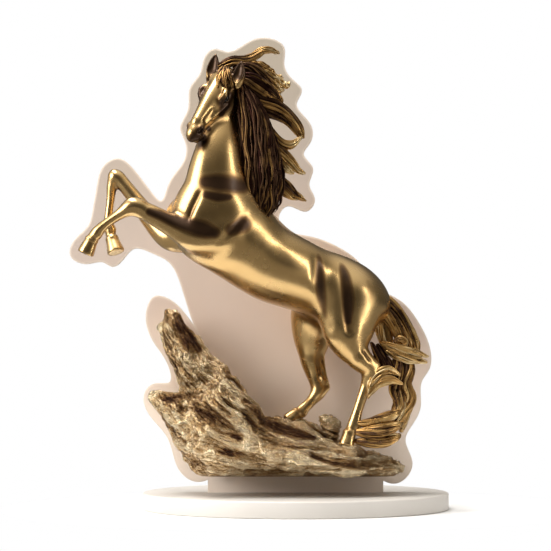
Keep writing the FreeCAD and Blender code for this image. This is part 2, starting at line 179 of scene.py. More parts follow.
def ball(centre, radii, along=(1, 0, 0), side=(0, 1, 0)):
    """An ellipsoid: radii along, to the side of, and across its own directions."""
    c = np.array(centre, float)
    a = unit(along)
    s = unit(np.array(side, float) - a * np.dot(side, a))
    u = np.cross(a, s)
    r = np.array(radii, float) if np.ndim(radii) else np.full(3, float(radii))

    def distance(x, y, z):
        x, y, z = x - c[0], y - c[1], z - c[2]
        k0 = np.float32(0)
        k1 = np.float32(0)
        for axis, size in zip((a, s, u), r):
            q = project(x, y, z, axis) / size
            k0 = k0 + q * q
            k1 = k1 + (q / size) ** 2
        k0 = np.sqrt(k0)
        return (k0 * (k0 - 1) / np.maximum(np.sqrt(k1), 1e-6)).astype(np.float32)

    return distance, c - r.max(), c + r.max()


def bar(path, steps=5):
    """A round bar through (x, y, z, radius) points."""
    rows = spline(path, steps) if len(path) > 2 else np.array(path, float)

    def distance(x, y, z):
        d = None
        for p, q in zip(rows[:-1], rows[1:]):
            ax = q[:3] - p[:3]
            length2 = max(float(ax @ ax), 1e-9)
            dx, dy, dz = x - p[0], y - p[1], z - p[2]
            t = np.clip(project(dx, dy, dz, ax) / length2, 0, 1)
            away = (dx - t * ax[0]) ** 2 + (dy - t * ax[1]) ** 2 + (dz - t * ax[2]) ** 2
            e = np.sqrt(away) - (p[3] + t * (q[3] - p[3]))
            d = e if d is None else np.minimum(d, e)
        return d.astype(np.float32)

    r = rows[:, 3:4]
    return distance, (rows[:, :3] - r).min(0), (rows[:, :3] + r).max(0)


def loft(stations, side, steps=6):
    """An elliptical body through (x, y, z, half width, half height) stations; width lies along side."""
    rows = spline(stations, steps)
    sides = np.array(side, float)
    if sides.ndim == 1:
        sides = np.tile(sides, (len(stations), 1))
    sides = spline(sides, steps)

    def distance(x, y, z):
        d = None
        for i in range(len(rows) - 1):
            p, q = rows[i], rows[i + 1]
            ax = q[:3] - p[:3]
            length = np.linalg.norm(ax)
            n = ax / length
            s = unit(sides[i] - n * (sides[i] @ n))
            u = np.cross(n, s)
            dx, dy, dz = x - p[0], y - p[1], z - p[2]
            a = project(dx, dy, dz, n)
            t = np.clip(a / length, 0, 1)
            over = a - t * length
            w = p[3] + t * (q[3] - p[3])
            h = p[4] + t * (q[4] - p[4])
            v = project(dx, dy, dz, s)
            k = project(dx, dy, dz, u)
            small = np.minimum(w, h)
            ratio = np.sqrt((v / w) ** 2 + (k / h) ** 2 + (over / small) ** 2)
            away = np.sqrt(v * v + k * k + over * over)
            e = np.where(ratio < 0.3, (ratio - 1) * small, away * (1 - 1 / np.maximum(ratio, 0.3)))
            d = e if d is None else np.minimum(d, e)
        return d.astype(np.float32)

    r = rows[:, 3:5].max(1)[:, None]
    return distance, (rows[:, :3] - r).min(0), (rows[:, :3] + r).max(0)


def surface(field):
    """The field's zero surface as points and quads, by surface nets."""
    d = field.d
    inside = d < 0
    n = field.count - 1
    filled = np.zeros(n, np.uint8)
    for i, j, k in CORNERS:
        filled += inside[i : i + n[0], j : j + n[1], k : k + n[2]]
    cells = np.argwhere((filled > 0) & (filled < 8))
    index = np.full(n, -1, np.int64)
    index[tuple(cells.T)] = np.arange(len(cells))
    values = [d[tuple((cells + c).T)] for c in CORNERS]
    total = np.zeros((len(cells), 3))
    hits = np.zeros(len(cells))
    for a, b in EDGES:
        va, vb = values[a], values[b]
        crossing = (va < 0) != (vb < 0)
        t = np.where(crossing, va / np.where(crossing, va - vb, 1), 0)
        point = CORNERS[a] + t[:, None] * (CORNERS[b] - CORNERS[a])
        total += point * crossing[:, None]
        hits += crossing
    points = field.low + (cells + total / hits[:, None]) * field.step
    quads = []
    for axis in range(3):
        one, two = (axis + 1) % 3, (axis + 2) % 3
        ahead = np.roll(inside, -1, axis=axis)
        cut = inside != ahead
        trim = [slice(0, -1)] * 3
        trim[one] = trim[two] = slice(1, -1)
        where = np.argwhere(cut[tuple(trim)])
        where[:, one] += 1
        where[:, two] += 1
        solid = inside[tuple(where.T)]
        ring = []
        for back_one, back_two in ((1, 1), (0, 1), (0, 0), (1, 0)):
            c = where.copy()
            c[:, one] -= back_one
            c[:, two] -= back_two
            ring.append(index[tuple(c.T)])
        quad = np.stack(ring, axis=1)
        quad[~solid] = quad[~solid][:, ::-1]
        quads.append(quad)
    return points, np.vstack(quads)


# ---------------------------------------------------------------- noise
def lattice_noise(points, seed):
    """Smooth noise from -1 to 1 that varies over about one unit."""
    size = 32
    table = np.random.RandomState(seed).uniform(-1, 1, (size, size, size)).astype(np.float32)
    i = np.floor(points).astype(int)
    f = (points - i).astype(np.float32)
    return between(table, i, f * f * (3 - 2 * f))


def layered(points, seed, octaves, ridged=False):
    """Sum of ever finer noise; ridged turns its zero lines into sharp crests."""
    out = np.zeros(len(points), np.float32)
    scale, weight = 1.0, 0.5
    for octave in range(octaves):
        n = lattice_noise(points * scale + 7.3 * octave, seed + octave)
        out += weight * ((1 - 2 * np.abs(n)) if ridged else n)
        scale *= 2.03
        weight *= 0.5
    return out


# ---------------------------------------------------------------- meshes
def link(obj):
    bpy.context.scene.collection.objects.link(obj)
    return obj


def new_mesh(name, points, faces):
    """A mesh object from millimetre points and equal-sized faces."""
    faces = np.asarray(faces)
    mesh = bpy.data.meshes.new(name)
    mesh.vertices.add(len(points))
    mesh.vertices.foreach_set("co", (np.asarray(points) * MM).ravel())
    corners = faces.shape[1]
    mesh.loops.add(faces.size)
    mesh.loops.foreach_set("vertex_index", faces.ravel())
    mesh.polygons.add(len(faces))
    mesh.polygons.foreach_set("loop_start", np.arange(len(faces)) * corners)
    mesh.update(calc_edges=True)
    mesh.polygons.foreach_set("use_smooth", np.ones(len(faces), bool))
    mesh.validate()
    return link(bpy.data.objects.new(name, mesh))


def object_of(name, bm):
    """An object made from a bmesh, which is used up."""
    mesh = bpy.data.meshes.new(name)
    bm.to_mesh(mesh)
    bm.free()
    return link(bpy.data.objects.new(name, mesh))


def attribute(obj, name, values):
    """Stores one number per point, for the materials."""
    layer = obj.data.attributes.new(name, "FLOAT", "POINT")
    layer.data.foreach_set("value", np.asarray(values, np.float32))


def coordinates(obj):
    """The points of a mesh, in millimetres."""
    flat = np.zeros(len(obj.data.vertices) * 3)
    obj.data.vertices.foreach_get("co", flat)
    return flat.reshape(-1, 3) / MM


def finish_cast(obj, field):
    """Smooth normals, and a hollow-ness map of painted occlusion shade, both from the field that the
    surface came from.
    """
    points = coordinates(obj)
    normals = field.normals(points)
    obj.data.normals_split_custom_set_from_vertices(normals.tolist())
    hollow = np.zeros(len(points), np.float32)
    for reach in (0.8, 1.6, 3.2):
        hollow += np.clip(1 - field.sample(points + normals * reach) / reach, -0.3, 1.0) / 3
    attribute(obj, "hollow", hollow)


# ---------------------------------------------------------------- the horse's form
# Stations are (x, y, z, half width, half height); limbs and muscles are (x, y, z, radius).
TRUNK = [
    (27.5, -15, 71, 6, 5.5), (24, -16.5, 73.4, 10.6, 9.6), (19, -18.2, 75.6, 12.6, 11.8),
    (13, -21, 78.4, 12, 11.8), (5.5, -24.5, 81.5, 11.6, 12), (-1, -27.5, 84.2, 12.6, 12.6),
    (-7.5, -30.5, 86.8, 13.3, 13.2), (-13.5, -33.4, 90, 13, 13.2), (-19, -36, 93.2, 12.4, 12.8),
    (-28, -40, 98.6, 10.6, 11.6), (-33.5, -42.5, 103, 8.4, 9.4), (-37, -44, 106.5, 5, 5.6),
]
NECK = [
    (-20.5, -38, 97, 9, 13.5), (-24, -39.5, 104.5, 9.6, 15), (-26.6, -41.2, 110.5, 9.4, 13.4),
    (-27.2, -42.2, 117.5, 8.4, 11.3), (-26.5, -41.4, 126.5, 7, 9), (-25.6, -38.4, 134.5, 5.8, 7.4),
    (-24.6, -35.6, 142, 4.9, 6.2), (-24, -36.4, 149, 3.8, 4.6),
]
NECK_SIDES = [
    BODY_SIDE, BODY_SIDE, (-0.45, 0.89, 0), (-0.52, 0.85, 0), (-0.62, 0.78, 0.03), (-0.72, 0.69, 0.06),
    (-0.80, 0.59, 0.08), HEAD_SIDE,
]
LEFT_FORELEG = [
    (-25.5, -45.5, 98, 6.6), (-31.5, -48.2, 95.8, 5.2), (-36.3, -49.5, 96.3, 4.6),
    (-42.1, -50.5, 99.7, 3.9), (-47.5, -51.2, 102.8, 3.5), (-51.6, -51.5, 104.9, 3.2),
    (-55.3, -52, 106.2, 3.1), (-58, -52, 105.4, 2.5), (-61.2, -51.8, 103.4, 1.85),
    (-65.2, -51.3, 100.6, 1.75), (-68, -50.8, 98, 2.1), (-70, -50.3, 95.6, 1.9),
]
RIGHT_FORELEG = [
    (-34, -35, 97.5, 6.4), (-40, -30, 96.4, 5.2), (-44.8, -28, 97, 4.4), (-50.5, -26, 102.6, 3.6),
    (-56.2, -25, 110, 2.75), (-60.4, -24.5, 115.3, 2.5), (-63, -24, 118, 2.5), (-64.6, -24, 115.2, 2),
    (-65.2, -24, 110, 1.55), (-65.9, -24, 103.7, 1.6), (-65.7, -24.2, 100.5, 2), (-65, -24.7, 97.6, 1.8),
]
LEFT_HIND_LEG = [
    (22.5, -27, 54, 4), (25.9, -26.3, 50.3, 3), (25, -26, 46, 2.3), (23.4, -26, 41.5, 1.95),
    (21.4, -26.2, 35.5, 1.9), (20.2, -26.5, 31.4, 2.3), (19, -27, 28.4, 2),
]
RIGHT_HIND_LEG = [
    (5.5, -10.5, 53, 3.4), (6.5, -10.8, 48, 2.6), (8, -11, 43.6, 2.7), (6.6, -11.6, 40.4, 2.2),
    (4.4, -12.2, 37.9, 1.95), (1.9, -13, 35.6, 2.1), (0.4, -13.4, 34.5, 1.9),
]
LEFT_THIGH = [
    (18.8, -24.5, 75, 8.6, 11), (17.6, -26.6, 69, 7.6, 9.6), (17.4, -27.4, 64, 6.6, 8),
    (18.9, -27.5, 58.8, 5, 6.3), (21.4, -27.1, 54.6, 3.5, 4.2), (24, -26.6, 52, 2.8, 3.3),
]
RIGHT_THIGH = [
    (11, -12.5, 78, 7.6, 10.5), (7, -11.3, 70, 6.8, 9.4), (4.9, -10.6, 64.3, 5.8, 6.6),
    (5.2, -10.4, 59, 4.7, 5.6), (5.2, -10.5, 54.3, 3.6, 3.9), (6.2, -10.8, 49.5, 2.6, 2.7),
]
# Hooves: coronet, sole centre, radius at the coronet and at the sole.
HOOVES = {
    "left_forehoof": ((-70, -50.3, 95.4), (-72.3, -50, 90.4), 2.15, 3.05),
    "right_forehoof": ((-64.7, -24.9, 96.6), (-63, -26.6, 91.4), 2.1, 3.25),
    "left_hind_hoof": ((18.8, -27.1, 28.6), (17.4, -28, 23.6), 2.2, 2.9),
    "right_hind_hoof": ((0.6, -13.4, 34.9), (-3, -14.4, 32), 2.1, 2.7),
}


def add_all(field, shapes):
    for shape, blend in shapes:
        field.add(shape, blend)


def trunk_shapes():
    """Barrel, shoulders, breast and quarters."""
    away = (0.36, -0.93, 0)
    return [
        (loft(TRUNK, BODY_SIDE), 0),
        (loft(NECK, NECK_SIDES), 7),
        # shoulder blade, point of the shoulder and the triceps behind it, on the left
        (ball((-24.5, -46.5, 105), (10, 4.4, 6.2), (-0.55, -0.25, 0.8), away), 5),
        (ball((-32.5, -49, 102.5), (6.6, 3.8, 4.8), (-0.62, -0.3, -0.72), away), 3.5),
        (ball((-25.5, -48.6, 98.5), (7.4, 3.6, 5), (-0.8, -0.25, -0.5), away), 3),
        # the same on the right
        (ball((-34, -31, 105), (9, 4.2, 6), (-0.55, 0.1, 0.8), BODY_SIDE), 5),
        (ball((-39.5, -32.5, 102.5), (6.4, 4.4, 5.2), (-0.62, 0.1, -0.72), BODY_SIDE), 3.5),
        # breast muscles either side of the breastbone, and the girth between the forelegs
        (ball((-37, -46.5, 103.5), (5.4, 4.2, 6.4), BODY_FORWARD, away), 2.2),
        (ball((-40.5, -39, 104.5), (5, 4.2, 6.2), BODY_FORWARD, BODY_SIDE), 2.2),
        (ball((-33, -41, 93.5), (8, 6, 5), (-0.9, -0.3, 0.25), BODY_SIDE), 4),
        # withers, loin and croup
        (ball((-14, -31.5, 101), (11, 3.6, 5), BODY_FORWARD, BODY_SIDE), 5),
        (ball((17, -18.5, 81.5), (12, 8.6, 6.6), BODY_FORWARD, BODY_SIDE), 5),
        # haunch: the broad muscle from the hip down the back of the thigh, and the stifle in front
        (loft(LEFT_THIGH, BODY_SIDE), 5),
        (ball((22.6, -23.5, 71), (12, 5.2, 5), (0.15, -0.2, -0.95), away), 3),
        (ball((14.2, -28.4, 66.5), (8.5, 4.6, 4.6), (-0.05, -0.25, -0.95), away), 2.6),
        (loft(RIGHT_THIGH, BODY_SIDE), 5),
        (ball((9, -9.6, 59.5), (5.6, 3, 3.2), (-0.2, 0, -1), BODY_SIDE), 2),
    ]


def joint_knobs():
    """Knees, points of hock and fetlocks that stand out from the limbs."""
    return [
        (ball((-55, -52, 107.2), (3.6, 2.7, 2.4), (-0.9, 0, 0.3)), 1.6),
        (ball((-57.6, -52, 106), (2.5, 2.5, 2.1), (-0.8, 0, -0.55)), 1.2),
        (ball((-63.6, -24, 118.3), (2.7, 2.3, 2.2), (-0.5, 0, 0.85)), 1.4),
        (bar([(21.5, -26.6, 58.5, 1.2), (25.5, -26.4, 54.4, 1.2), (28.3, -26.2, 51.8, 1.6)]), 1.8),
        (ball((26, -26.3, 48.4), (3.6, 2.3, 2.5), (-0.2, 0, -1)), 1.4),
        (bar([(9.2, -10.8, 54, 1.1), (10.4, -11, 48, 1), (11, -11, 43.9, 1.5)]), 1.5),
        (ball((8.4, -11.3, 42.2), (3.2, 2.2, 2.3), (-0.5, 0, -0.9)), 1.3),
        (ball((-68.4, -50.8, 96.6), (1.8, 1.9, 1.6)), 0.9),
        (ball((-64.6, -24.2, 99.6), (1.6, 1.7, 1.5)), 0.9),
        (ball((21.4, -26.6, 30.6), (1.6, 1.9, 1.7)), 0.9),
        (ball((2.6, -13, 34.6), (1.5, 1.8, 1.5)), 0.9),
    ]


def on_head(along, side, up):
    """A point on the head: from the poll to the lips, to its right, and up from the brow line."""
    return tuple(np.array(POLL) + unit(HEAD_ALONG) * along + unit(HEAD_SIDE) * side + HEAD_UP * up)


def head_line(stations):
    """Loft stations for (along, up, half width, half height) on the head's middle line."""
    return [(*on_head(a, 0, u), w, h) for a, u, w, h in stations]


def head_path(*rows, side=1):
    """Rows of (along, side, up, radius) on the head as (x, y, z, radius); side -1 is the left."""
    return [(*on_head(a, s * side, u), r) for a, s, u, r in rows]


SKULL = [
    (-1, -3.4, 3.2, 3.2), (2, -3.8, 4.6, 4), (6, -4.8, 5.3, 4.8), (9.5, -5.4, 5.3, 5.3),
    (13, -5.2, 4.3, 4.9), (16.5, -4.6, 3.3, 4), (20, -4.2, 2.75, 3.3), (23, -4.1, 2.75, 3),
    (25.4, -4.2, 2.65, 2.7), (26.8, -4.5, 1.9, 1.9),
]


def head_shapes():
    """Skull, cheeks, brows, muzzle and lips."""
    shapes = [(loft(head_line(SKULL), HEAD_SIDE), 3)]
    for s in (-1, 1):
        out = unit(HEAD_SIDE) * s
        shapes += [
            # round cheek plate behind the eye, and the jaw line that runs forward from it
            (ball(on_head(8, 3.7 * s, -9.8), (4.8, 2.3, 4.8), HEAD_ALONG, out), 0.9),
            (bar(head_path((10.5, 3.6, -12.6, 1.5), (15, 2.8, -10.4, 1.2), (19, 2, -8.6, 1.1),
                           (22.4, 1.2, -8, 1), side=s)), 1.2),
            # facial crest from below the eye, and the bony brow above it
            (bar(head_path((10, 4.9, -4.8, 0.8), (13.5, 3.9, -4.9, 0.7), (16.5, 3.1, -4.4, 0.4),
                           side=s)), 1),
            (bar(head_path((6.4, 4.2, -1.3, 0.8), (8.6, 4.9, -1.1, 0.85), (10.8, 4.2, -1.6, 0.5),
                           side=s)), 1.4),
            # nostril wing, upper lip, and the temple below the ear
            (ball(on_head(23.6, 2.3 * s, -3.3), (2, 1.1, 1.5), HEAD_ALONG, out), 0.8),
            (ball(on_head(25.8, 1.2 * s, -5.4), (1.4, 1.5, 1.3)), 0.7),
            (ball(on_head(2, 3 * s, -1.8), (2.6, 1.8, 1.8), HEAD_ALONG, out), 1.6),
        ]
    # the bridge of the nose, and the lower lip and chin
    shapes += [
        (bar(head_path((2, 0, -1, 1.8), (11, 0, -1.2, 1.8), (21, 0, -1.9, 1.3))), 2.2),
        (ball(on_head(24.4, 0, -7.4), (2.3, 1.8, 1.3), HEAD_ALONG, HEAD_SIDE), 0.6),
        (ball(on_head(22.4, 0, -8), (1.8, 1.6, 1.2), HEAD_ALONG, HEAD_SIDE), 0.8),
    ]
    return shapes


def hoof_shapes(coronet, sole, top_r, sole_r):
    """A flared hoof with a flat sole, and the raised band round its top."""
    c, b = np.array(coronet), np.array(sole)
    size = np.linalg.norm(b - c)
    axis = (b - c) / size

    def distance(x, y, z):
        dx, dy, dz = x - c[0], y - c[1], z - c[2]
        down = project(dx, dy, dz, axis)
        away = np.sqrt(np.maximum(dx * dx + dy * dy + dz * dz - down * down, 0))
        t = np.clip(down / size, -0.2, 1)
        wall = (away - (top_r + t * (sole_r - top_r))) * 0.97
        ends = np.maximum(down - size, -0.2 * size - down)
        return (-smooth_min(-wall, -ends, 0.7)).astype(np.float32)

    reach = size + sole_r
    band = ball(c + axis * 0.15, (0.75, top_r + 0.32, top_r + 0.32), axis, (0, 1, 0.1))
    return [((distance, c - reach, c + reach), 0.25), (band, 0.5)]


EARS = {
    "left": ((-20.2, -43.4, 149.6), (-18.9, -43.4, 156.8), (-0.40, -0.90, 0.15)),
    "right": ((-29.6, -39.4, 151.2), (-27.9, -39, 159.8), (-0.30, -0.94, 0.12)),
}
EAR_LEAF = (  # share of the ear's length, half width, half thickness
    (-0.12, 1.5, 1.5), (0.12, 1.95, 1.6), (0.40, 2.30, 1.45), (0.70, 1.75, 1), (0.90, 0.9, 0.6),
    (1, 0.3, 0.3),
)
EAR_CUP = (  # share of the length, half width, half depth, and how far forward
    (0.10, 0.9, 0.8, 1.5), (0.38, 1.75, 1.35, 1.25), (0.66, 1.30, 1, 0.9), (0.88, 0.45, 0.45, 0.55),
)


def ear_shapes(base, tip, opening):
    """A leaf-shaped ear and the hollow that opens from it."""
    base, tip = np.array(base), np.array(tip)
    axis = unit(tip - base)
    face = unit(np.array(opening) - axis * np.dot(opening, axis))
    size = np.linalg.norm(tip - base)
    leaf = [(*(base + axis * size * t), w, h) for t, w, h in EAR_LEAF]
    cup = [(*(base + axis * size * t + face * f), w, h) for t, w, h, f in EAR_CUP]
    across = np.cross(face, axis)
    return loft(leaf, across), loft(cup, across)


def build_horse(field):
    """The whole horse as one smooth form."""
    smooth = round(BODY_SMOOTHING / field.step**2)
    add_all(field, trunk_shapes())
    field.soften(smooth)
    for limb in (LEFT_FORELEG, RIGHT_FORELEG):
        field.add(bar(limb), 3.0)
    for limb in (LEFT_HIND_LEG, RIGHT_HIND_LEG):
        field.add(bar(limb), 1.6)
    add_all(field, joint_knobs())
    carve_folds(field)
    field.soften(smooth // 6)
    for foot in HOOVES.values():
        add_all(field, hoof_shapes(*foot))
    add_all(field, head_shapes())
    field.soften(round(HEAD_SMOOTHING / field.step**2))
    for base, tip, opening in EARS.values():
        leaf, cup = ear_shapes(base, tip, opening)
        field.add(leaf, 0.9)
        field.carve(cup, 0.25)
    carve_face(field)


GROOVES = [  # a path of x, y, z and radius, and how softly its edge blends
    # behind the triceps, from the elbow up towards the withers
    ([(-27, -53.6, 93.2, 0.6), (-22.5, -52.8, 97.5, 1), (-17.5, -50.6, 103, 0.8),
      (-14, -47.5, 108, 0.3)], 1.4),
    # between breast and shoulder
    ([(-36.8, -51.6, 101, 0.2), (-35.4, -51.9, 106, 0.35), (-33, -51.4, 111, 0.2)], 1.8),
    # two long muscle furrows of the haunch
    ([(8, -37.6, 89, 0.3), (8.4, -38.6, 81, 1.2), (9.2, -38, 73, 1.1), (11, -35.4, 65, 0.4)], 3.4),
    ([(16.4, -33.4, 87, 0.3), (17.2, -34.9, 79, 1.3), (17.8, -34.6, 71, 1.1), (18.4, -33.8, 64, 0.3)], 3),
    # in front of the hamstring tendon
    ([(23, -29.6, 56.8, 0.5), (25.3, -28.6, 53.4, 0.6)], 0.8),
    ([(7.8, -13.4, 54, 0.5), (9, -13.2, 48, 0.5)], 0.8),
    # under the belly, the edge of the girth
    ([(-29.5, -47.6, 88, 0.3), (-22, -46, 82.6, 0.6), (-12, -41.5, 77.4, 0.6),
      (-2, -36.5, 73.6, 0.3)], 1.6),
]


def carve_folds(field):
    """Grooves between the muscles, folds of skin, and tendon lines."""
    for path, blend in GROOVES:
        field.carve(bar(path), blend)


EYE_PLACE = (9.0, 3.95, -2.9)  # along, side and up from the poll
EYE_R = 1.85
CORNEA_RISE, CORNEA_EDGE = 0.10, 0.75  # as shares of the radius
LIDS = (  # (along, out, up) from the middle of the eye
    ((-2.1, 0.7, -0.1), (-0.9, 1.35, 1.15), (0.8, 1.35, 1.1), (2.3, 0.6, -0.5)),
    ((-2, 0.7, -0.2), (-0.7, 1.35, -1.15), (0.9, 1.30, -1.2), (2.3, 0.5, -0.6)),
)
THROAT = (  # the groove under the jaw: along, side, up and radius
    (2.2, 5.4, -10.5, 0.5), (4, 5.6, -14, 0.8), (8.5, 5.2, -16, 0.9), (13, 4.6, -15, 0.8),
    (17, 3.6, -13, 0.5),
)
MOUTH = ((21.6, 2.8, -6.5, 0.25), (24, 2.5, -6.5, 0.38), (26.4, 1.5, -6.5, 0.38))


def carve_face(field):
    """Eye sockets with lids, nostrils, mouth, and the hollows over the eyes and along the nose."""
    for s in (-1, 1):
        a, b, c = EYE_PLACE
        out = unit(HEAD_SIDE) * s
        field.carve(ball(on_head(a, (b + 1.6) * s, c), (2.6, 1.2, 1.6), HEAD_ALONG, out), 0.5)
        for lid, thick in zip(LIDS, (0.42, 0.32)):
            path = [(*on_head(a + da, (b + do) * s, c + du), thick) for da, do, du in lid]
            field.add(bar(path), 0.35)
        field.carve(ball(on_head(24.9, 2.9 * s, -3), (1.35, 0.95, 0.85), (-0.2, -0.7, -0.7), out), 0.3)
        field.carve(bar(head_path((15.5, 3.7, -2.6, 0.7), (20, 3.2, -2.7, 0.8), side=s)), 1.4)
        field.carve(ball(on_head(4.6, 4.6 * s, -1.8), (1.5, 0.9, 0.9), HEAD_ALONG, out), 1.2)
        field.carve(bar(head_path(*THROAT, side=s)), 1.4)
        field.carve(bar(head_path(*MOUTH, side=s)), 0.3)
    field.carve(bar(head_path((26.2, -1.6, -6.5, 0.38), (27, 0, -6.5, 0.38), (26.2, 1.6, -6.5, 0.38))), 0.3)


FACE_SHADE_AND_PATINA, BODY_REFLECTION_DARKNESS = 0.85, 0.64  # how dark the painted shade and patina in the face, and the painted dark reflection bands on the body, get
# Places in the face given painted shade with dark patina, round the eyes, nostrils, mouth and under the
# jaw: (along, side, up) on the head, and its reach.
DARK_PLACES = [
    ((10, -4.4, -4.3), 3.3), ((7.6, -4.4, -3.9), 2.6), ((13, -4.2, -5.6), 1.8), ((9.4, 4.9, -2.2), 3),
    ((24.9, 2.7, -3.2), 2), ((24.8, -2.9, -3.6), 2.4), ((27, -1.6, -4.8), 2.8), ((27, 1, -5.8), 2.4),
    ((25.6, -2.6, -6.4), 2), ((24, -2, -7.6), 1.5), ((20.4, -3, -6.6), 1.2),
    ((4.6, 5.6, -14.6), 1.5), ((4.6, -5.6, -14.2), 1.5), ((8.6, 5, -15.6), 1.6), ((8.6, -5, -15.4), 1.6),
    ((13, 4.6, -14), 1.5), ((13, -4.6, -13.8), 1.5), ((16.6, -3.6, -11.8), 1.3),
]
# Dark reflection bands painted on the body as streaks of colour: x, y, z and reach along each.
DARK_REFLECTION_STREAKS = {
    "haunch_front": [
        (8.2, -37.5, 91.5, 1.4), (8.4, -37.5, 83, 1.9), (8.8, -37.5, 76, 2.1), (9.8, -36, 69, 1.5),
    ],
    "haunch_back": [(16, -33, 88.5, 1.5), (17.4, -34, 81, 2.2), (18, -34, 74, 2.3), (18, -33, 67.5, 1.5)],
    "rump": [(24.4, -25, 80.5, 1.7), (25.4, -25, 76, 2.2), (24.4, -25, 71.5, 1.6)],
    "breast": [(-31, -52, 115, 2.4), (-25, -51.5, 114.6, 3.3), (-18.5, -49.5, 114, 3)],
    "shoulder": [(-31, -52.5, 110.6, 1.4), (-27, -52.5, 109.8, 1.7), (-23, -51.5, 109.8, 1.2)],
    "elbow": [(-22.4, -52, 98.6, 2.2), (-18.2, -50.5, 100.4, 3)],
    "forearm": [
        (-50, -54, 104.6, 1.4), (-44, -54, 102.6, 2.2), (-38, -54, 100.6, 2.8), (-32, -53, 98.8, 3),
        (-28, -52, 97.6, 2.2),
    ],
}


def spots_along(paths, steps, wider=0.0):
    """Spots, each a point and a reach, all the way along some paths."""
    return [(row[:3], row[3] + wider) for path in paths for row in spline(path, steps)]


def darken(obj, spots, depth, through=1.0):
    """Raises a casting's hollow-ness, the painted darkness of its colour, softly round given points;
    through shortens distances along y.
    """
    points = coordinates(obj)
    layer = obj.data.attributes["hollow"].data
    hollow = np.zeros(len(points), np.float32)
    layer.foreach_get("value", hollow)
    for spot, reach in spots:
        away = np.linalg.norm((points - spot) * (1, through, 1), axis=1) / reach
        near = np.clip((1.6 - away) / 1.2, 0, 1)
        hollow = np.maximum(hollow, depth * near * near * (3 - 2 * near))
    layer.foreach_set("value", hollow)


# ---------------------------------------------------------------- castings
# Seams between castings: a point, the way the limb runs, and the reach of the cut round that point.
SEAMS = {
    "neck": ((-26, -41, 111.5), (-0.1, -0.1, 1), 20),
    "head": ((-26, -42.3, 128), (0, 0, 1), 11.3),
    "left_foreleg": ((-47, -51.1, 102.5), (-0.86, -0.2, 0.48), 6.6),
    "right_foreleg": ((-48.3, -26.8, 100.2), (-0.68, 0.24, 0.69), 7.6),
    "left_hind_leg": ((19.3, -27.4, 58.3), (0.2, 0, -1), 9.6),
    "right_hind_leg": ((5.2, -10.4, 57.6), (0, 0, -1), 8.6),
}
HOOF_REACH = 3.9
HOOF_SEAM = 0.12  # how far down a hoof its seam is, as a share of its height
# A place on the skin of each casting, by which it is told from the others.
PROBES = {
    "torso": (0, -38, 82), "neck": (-30, -50, 118), "left_foreleg": (-55, -54.8, 106),
    "right_foreleg": (-60, -27, 115), "left_hind_leg": (23.5, -28, 42), "right_hind_leg": (6.5, -13.5, 48),
    **{name: sole for name, (_, sole, _, _) in HOOVES.items()},
}


def cut_apart(points, quads, seams):
    """The surface as a bmesh, cut at each seam and open there."""
    mesh = bpy.data.meshes.new("whole")
    mesh.from_pydata(points.tolist(), [], quads.tolist())
    bm = bmesh.new()
    bm.from_mesh(mesh)
    bpy.data.meshes.remove(mesh)
    torn = []
    for place, way, reach in seams:
        middle = Vector(place)
        near = [f for f in bm.faces if (f.calc_center_median() - middle).length < reach]
        parts = set(near)
        for f in near:
            parts.update(f.edges)
            parts.update(f.verts)
        made = bmesh.ops.bisect_plane(
            bm, geom=list(parts), dist=1e-6, plane_co=middle, plane_no=Vector(way).normalized()
        )
        torn += [g for g in made["geom_cut"] if isinstance(g, bmesh.types.BMEdge)]
    bmesh.ops.split_edges(bm, edges=[e for e in set(torn) if e.is_valid])
    return bm


def islands(bm):
    """The bmesh's faces in connected groups."""
    bm.faces.ensure_lookup_table()
    seen = set()
    groups = []
    for start in bm.faces:
        if start.index in seen:
            continue
        seen.add(start.index)
        group, queue = [], [start]
        while queue:
            face = queue.pop()
            group.append(face)
            for edge in face.edges:
                for other in edge.link_faces:
                    if other.index not in seen:
                        seen.add(other.index)
                        queue.append(other)
        groups.append(group)
    return groups


def castings(bm, probes, field):
    """One closed object for each probe: the island nearest to it, with its seams capped."""
    groups = [g for g in islands(bm) if len(g) > 20]
    clouds = [np.array([f.calc_center_median() for f in g]) for g in groups]
    made = {}
    for name, probe in probes.items():
        gaps = [np.linalg.norm(c - probe, axis=1).min() for c in clouds]
        group = groups[int(np.argmin(gaps))]
        part = bmesh.new()
        copied = {}
        for face in group:
            corners = []
            for v in face.verts:
                if v not in copied:
                    copied[v] = part.verts.new(v.co * MM)
                corners.append(copied[v])
            part.faces.new(corners).smooth = True
        rim = [e for e in part.edges if e.is_boundary]
        bmesh.ops.holes_fill(part, edges=rim, sides=0)
        bmesh.ops.triangulate(part, faces=[f for f in part.faces if len(f.verts) > 4])
        made[name] = object_of(name + "_cast", part)
        finish_cast(made[name], field)
    return made


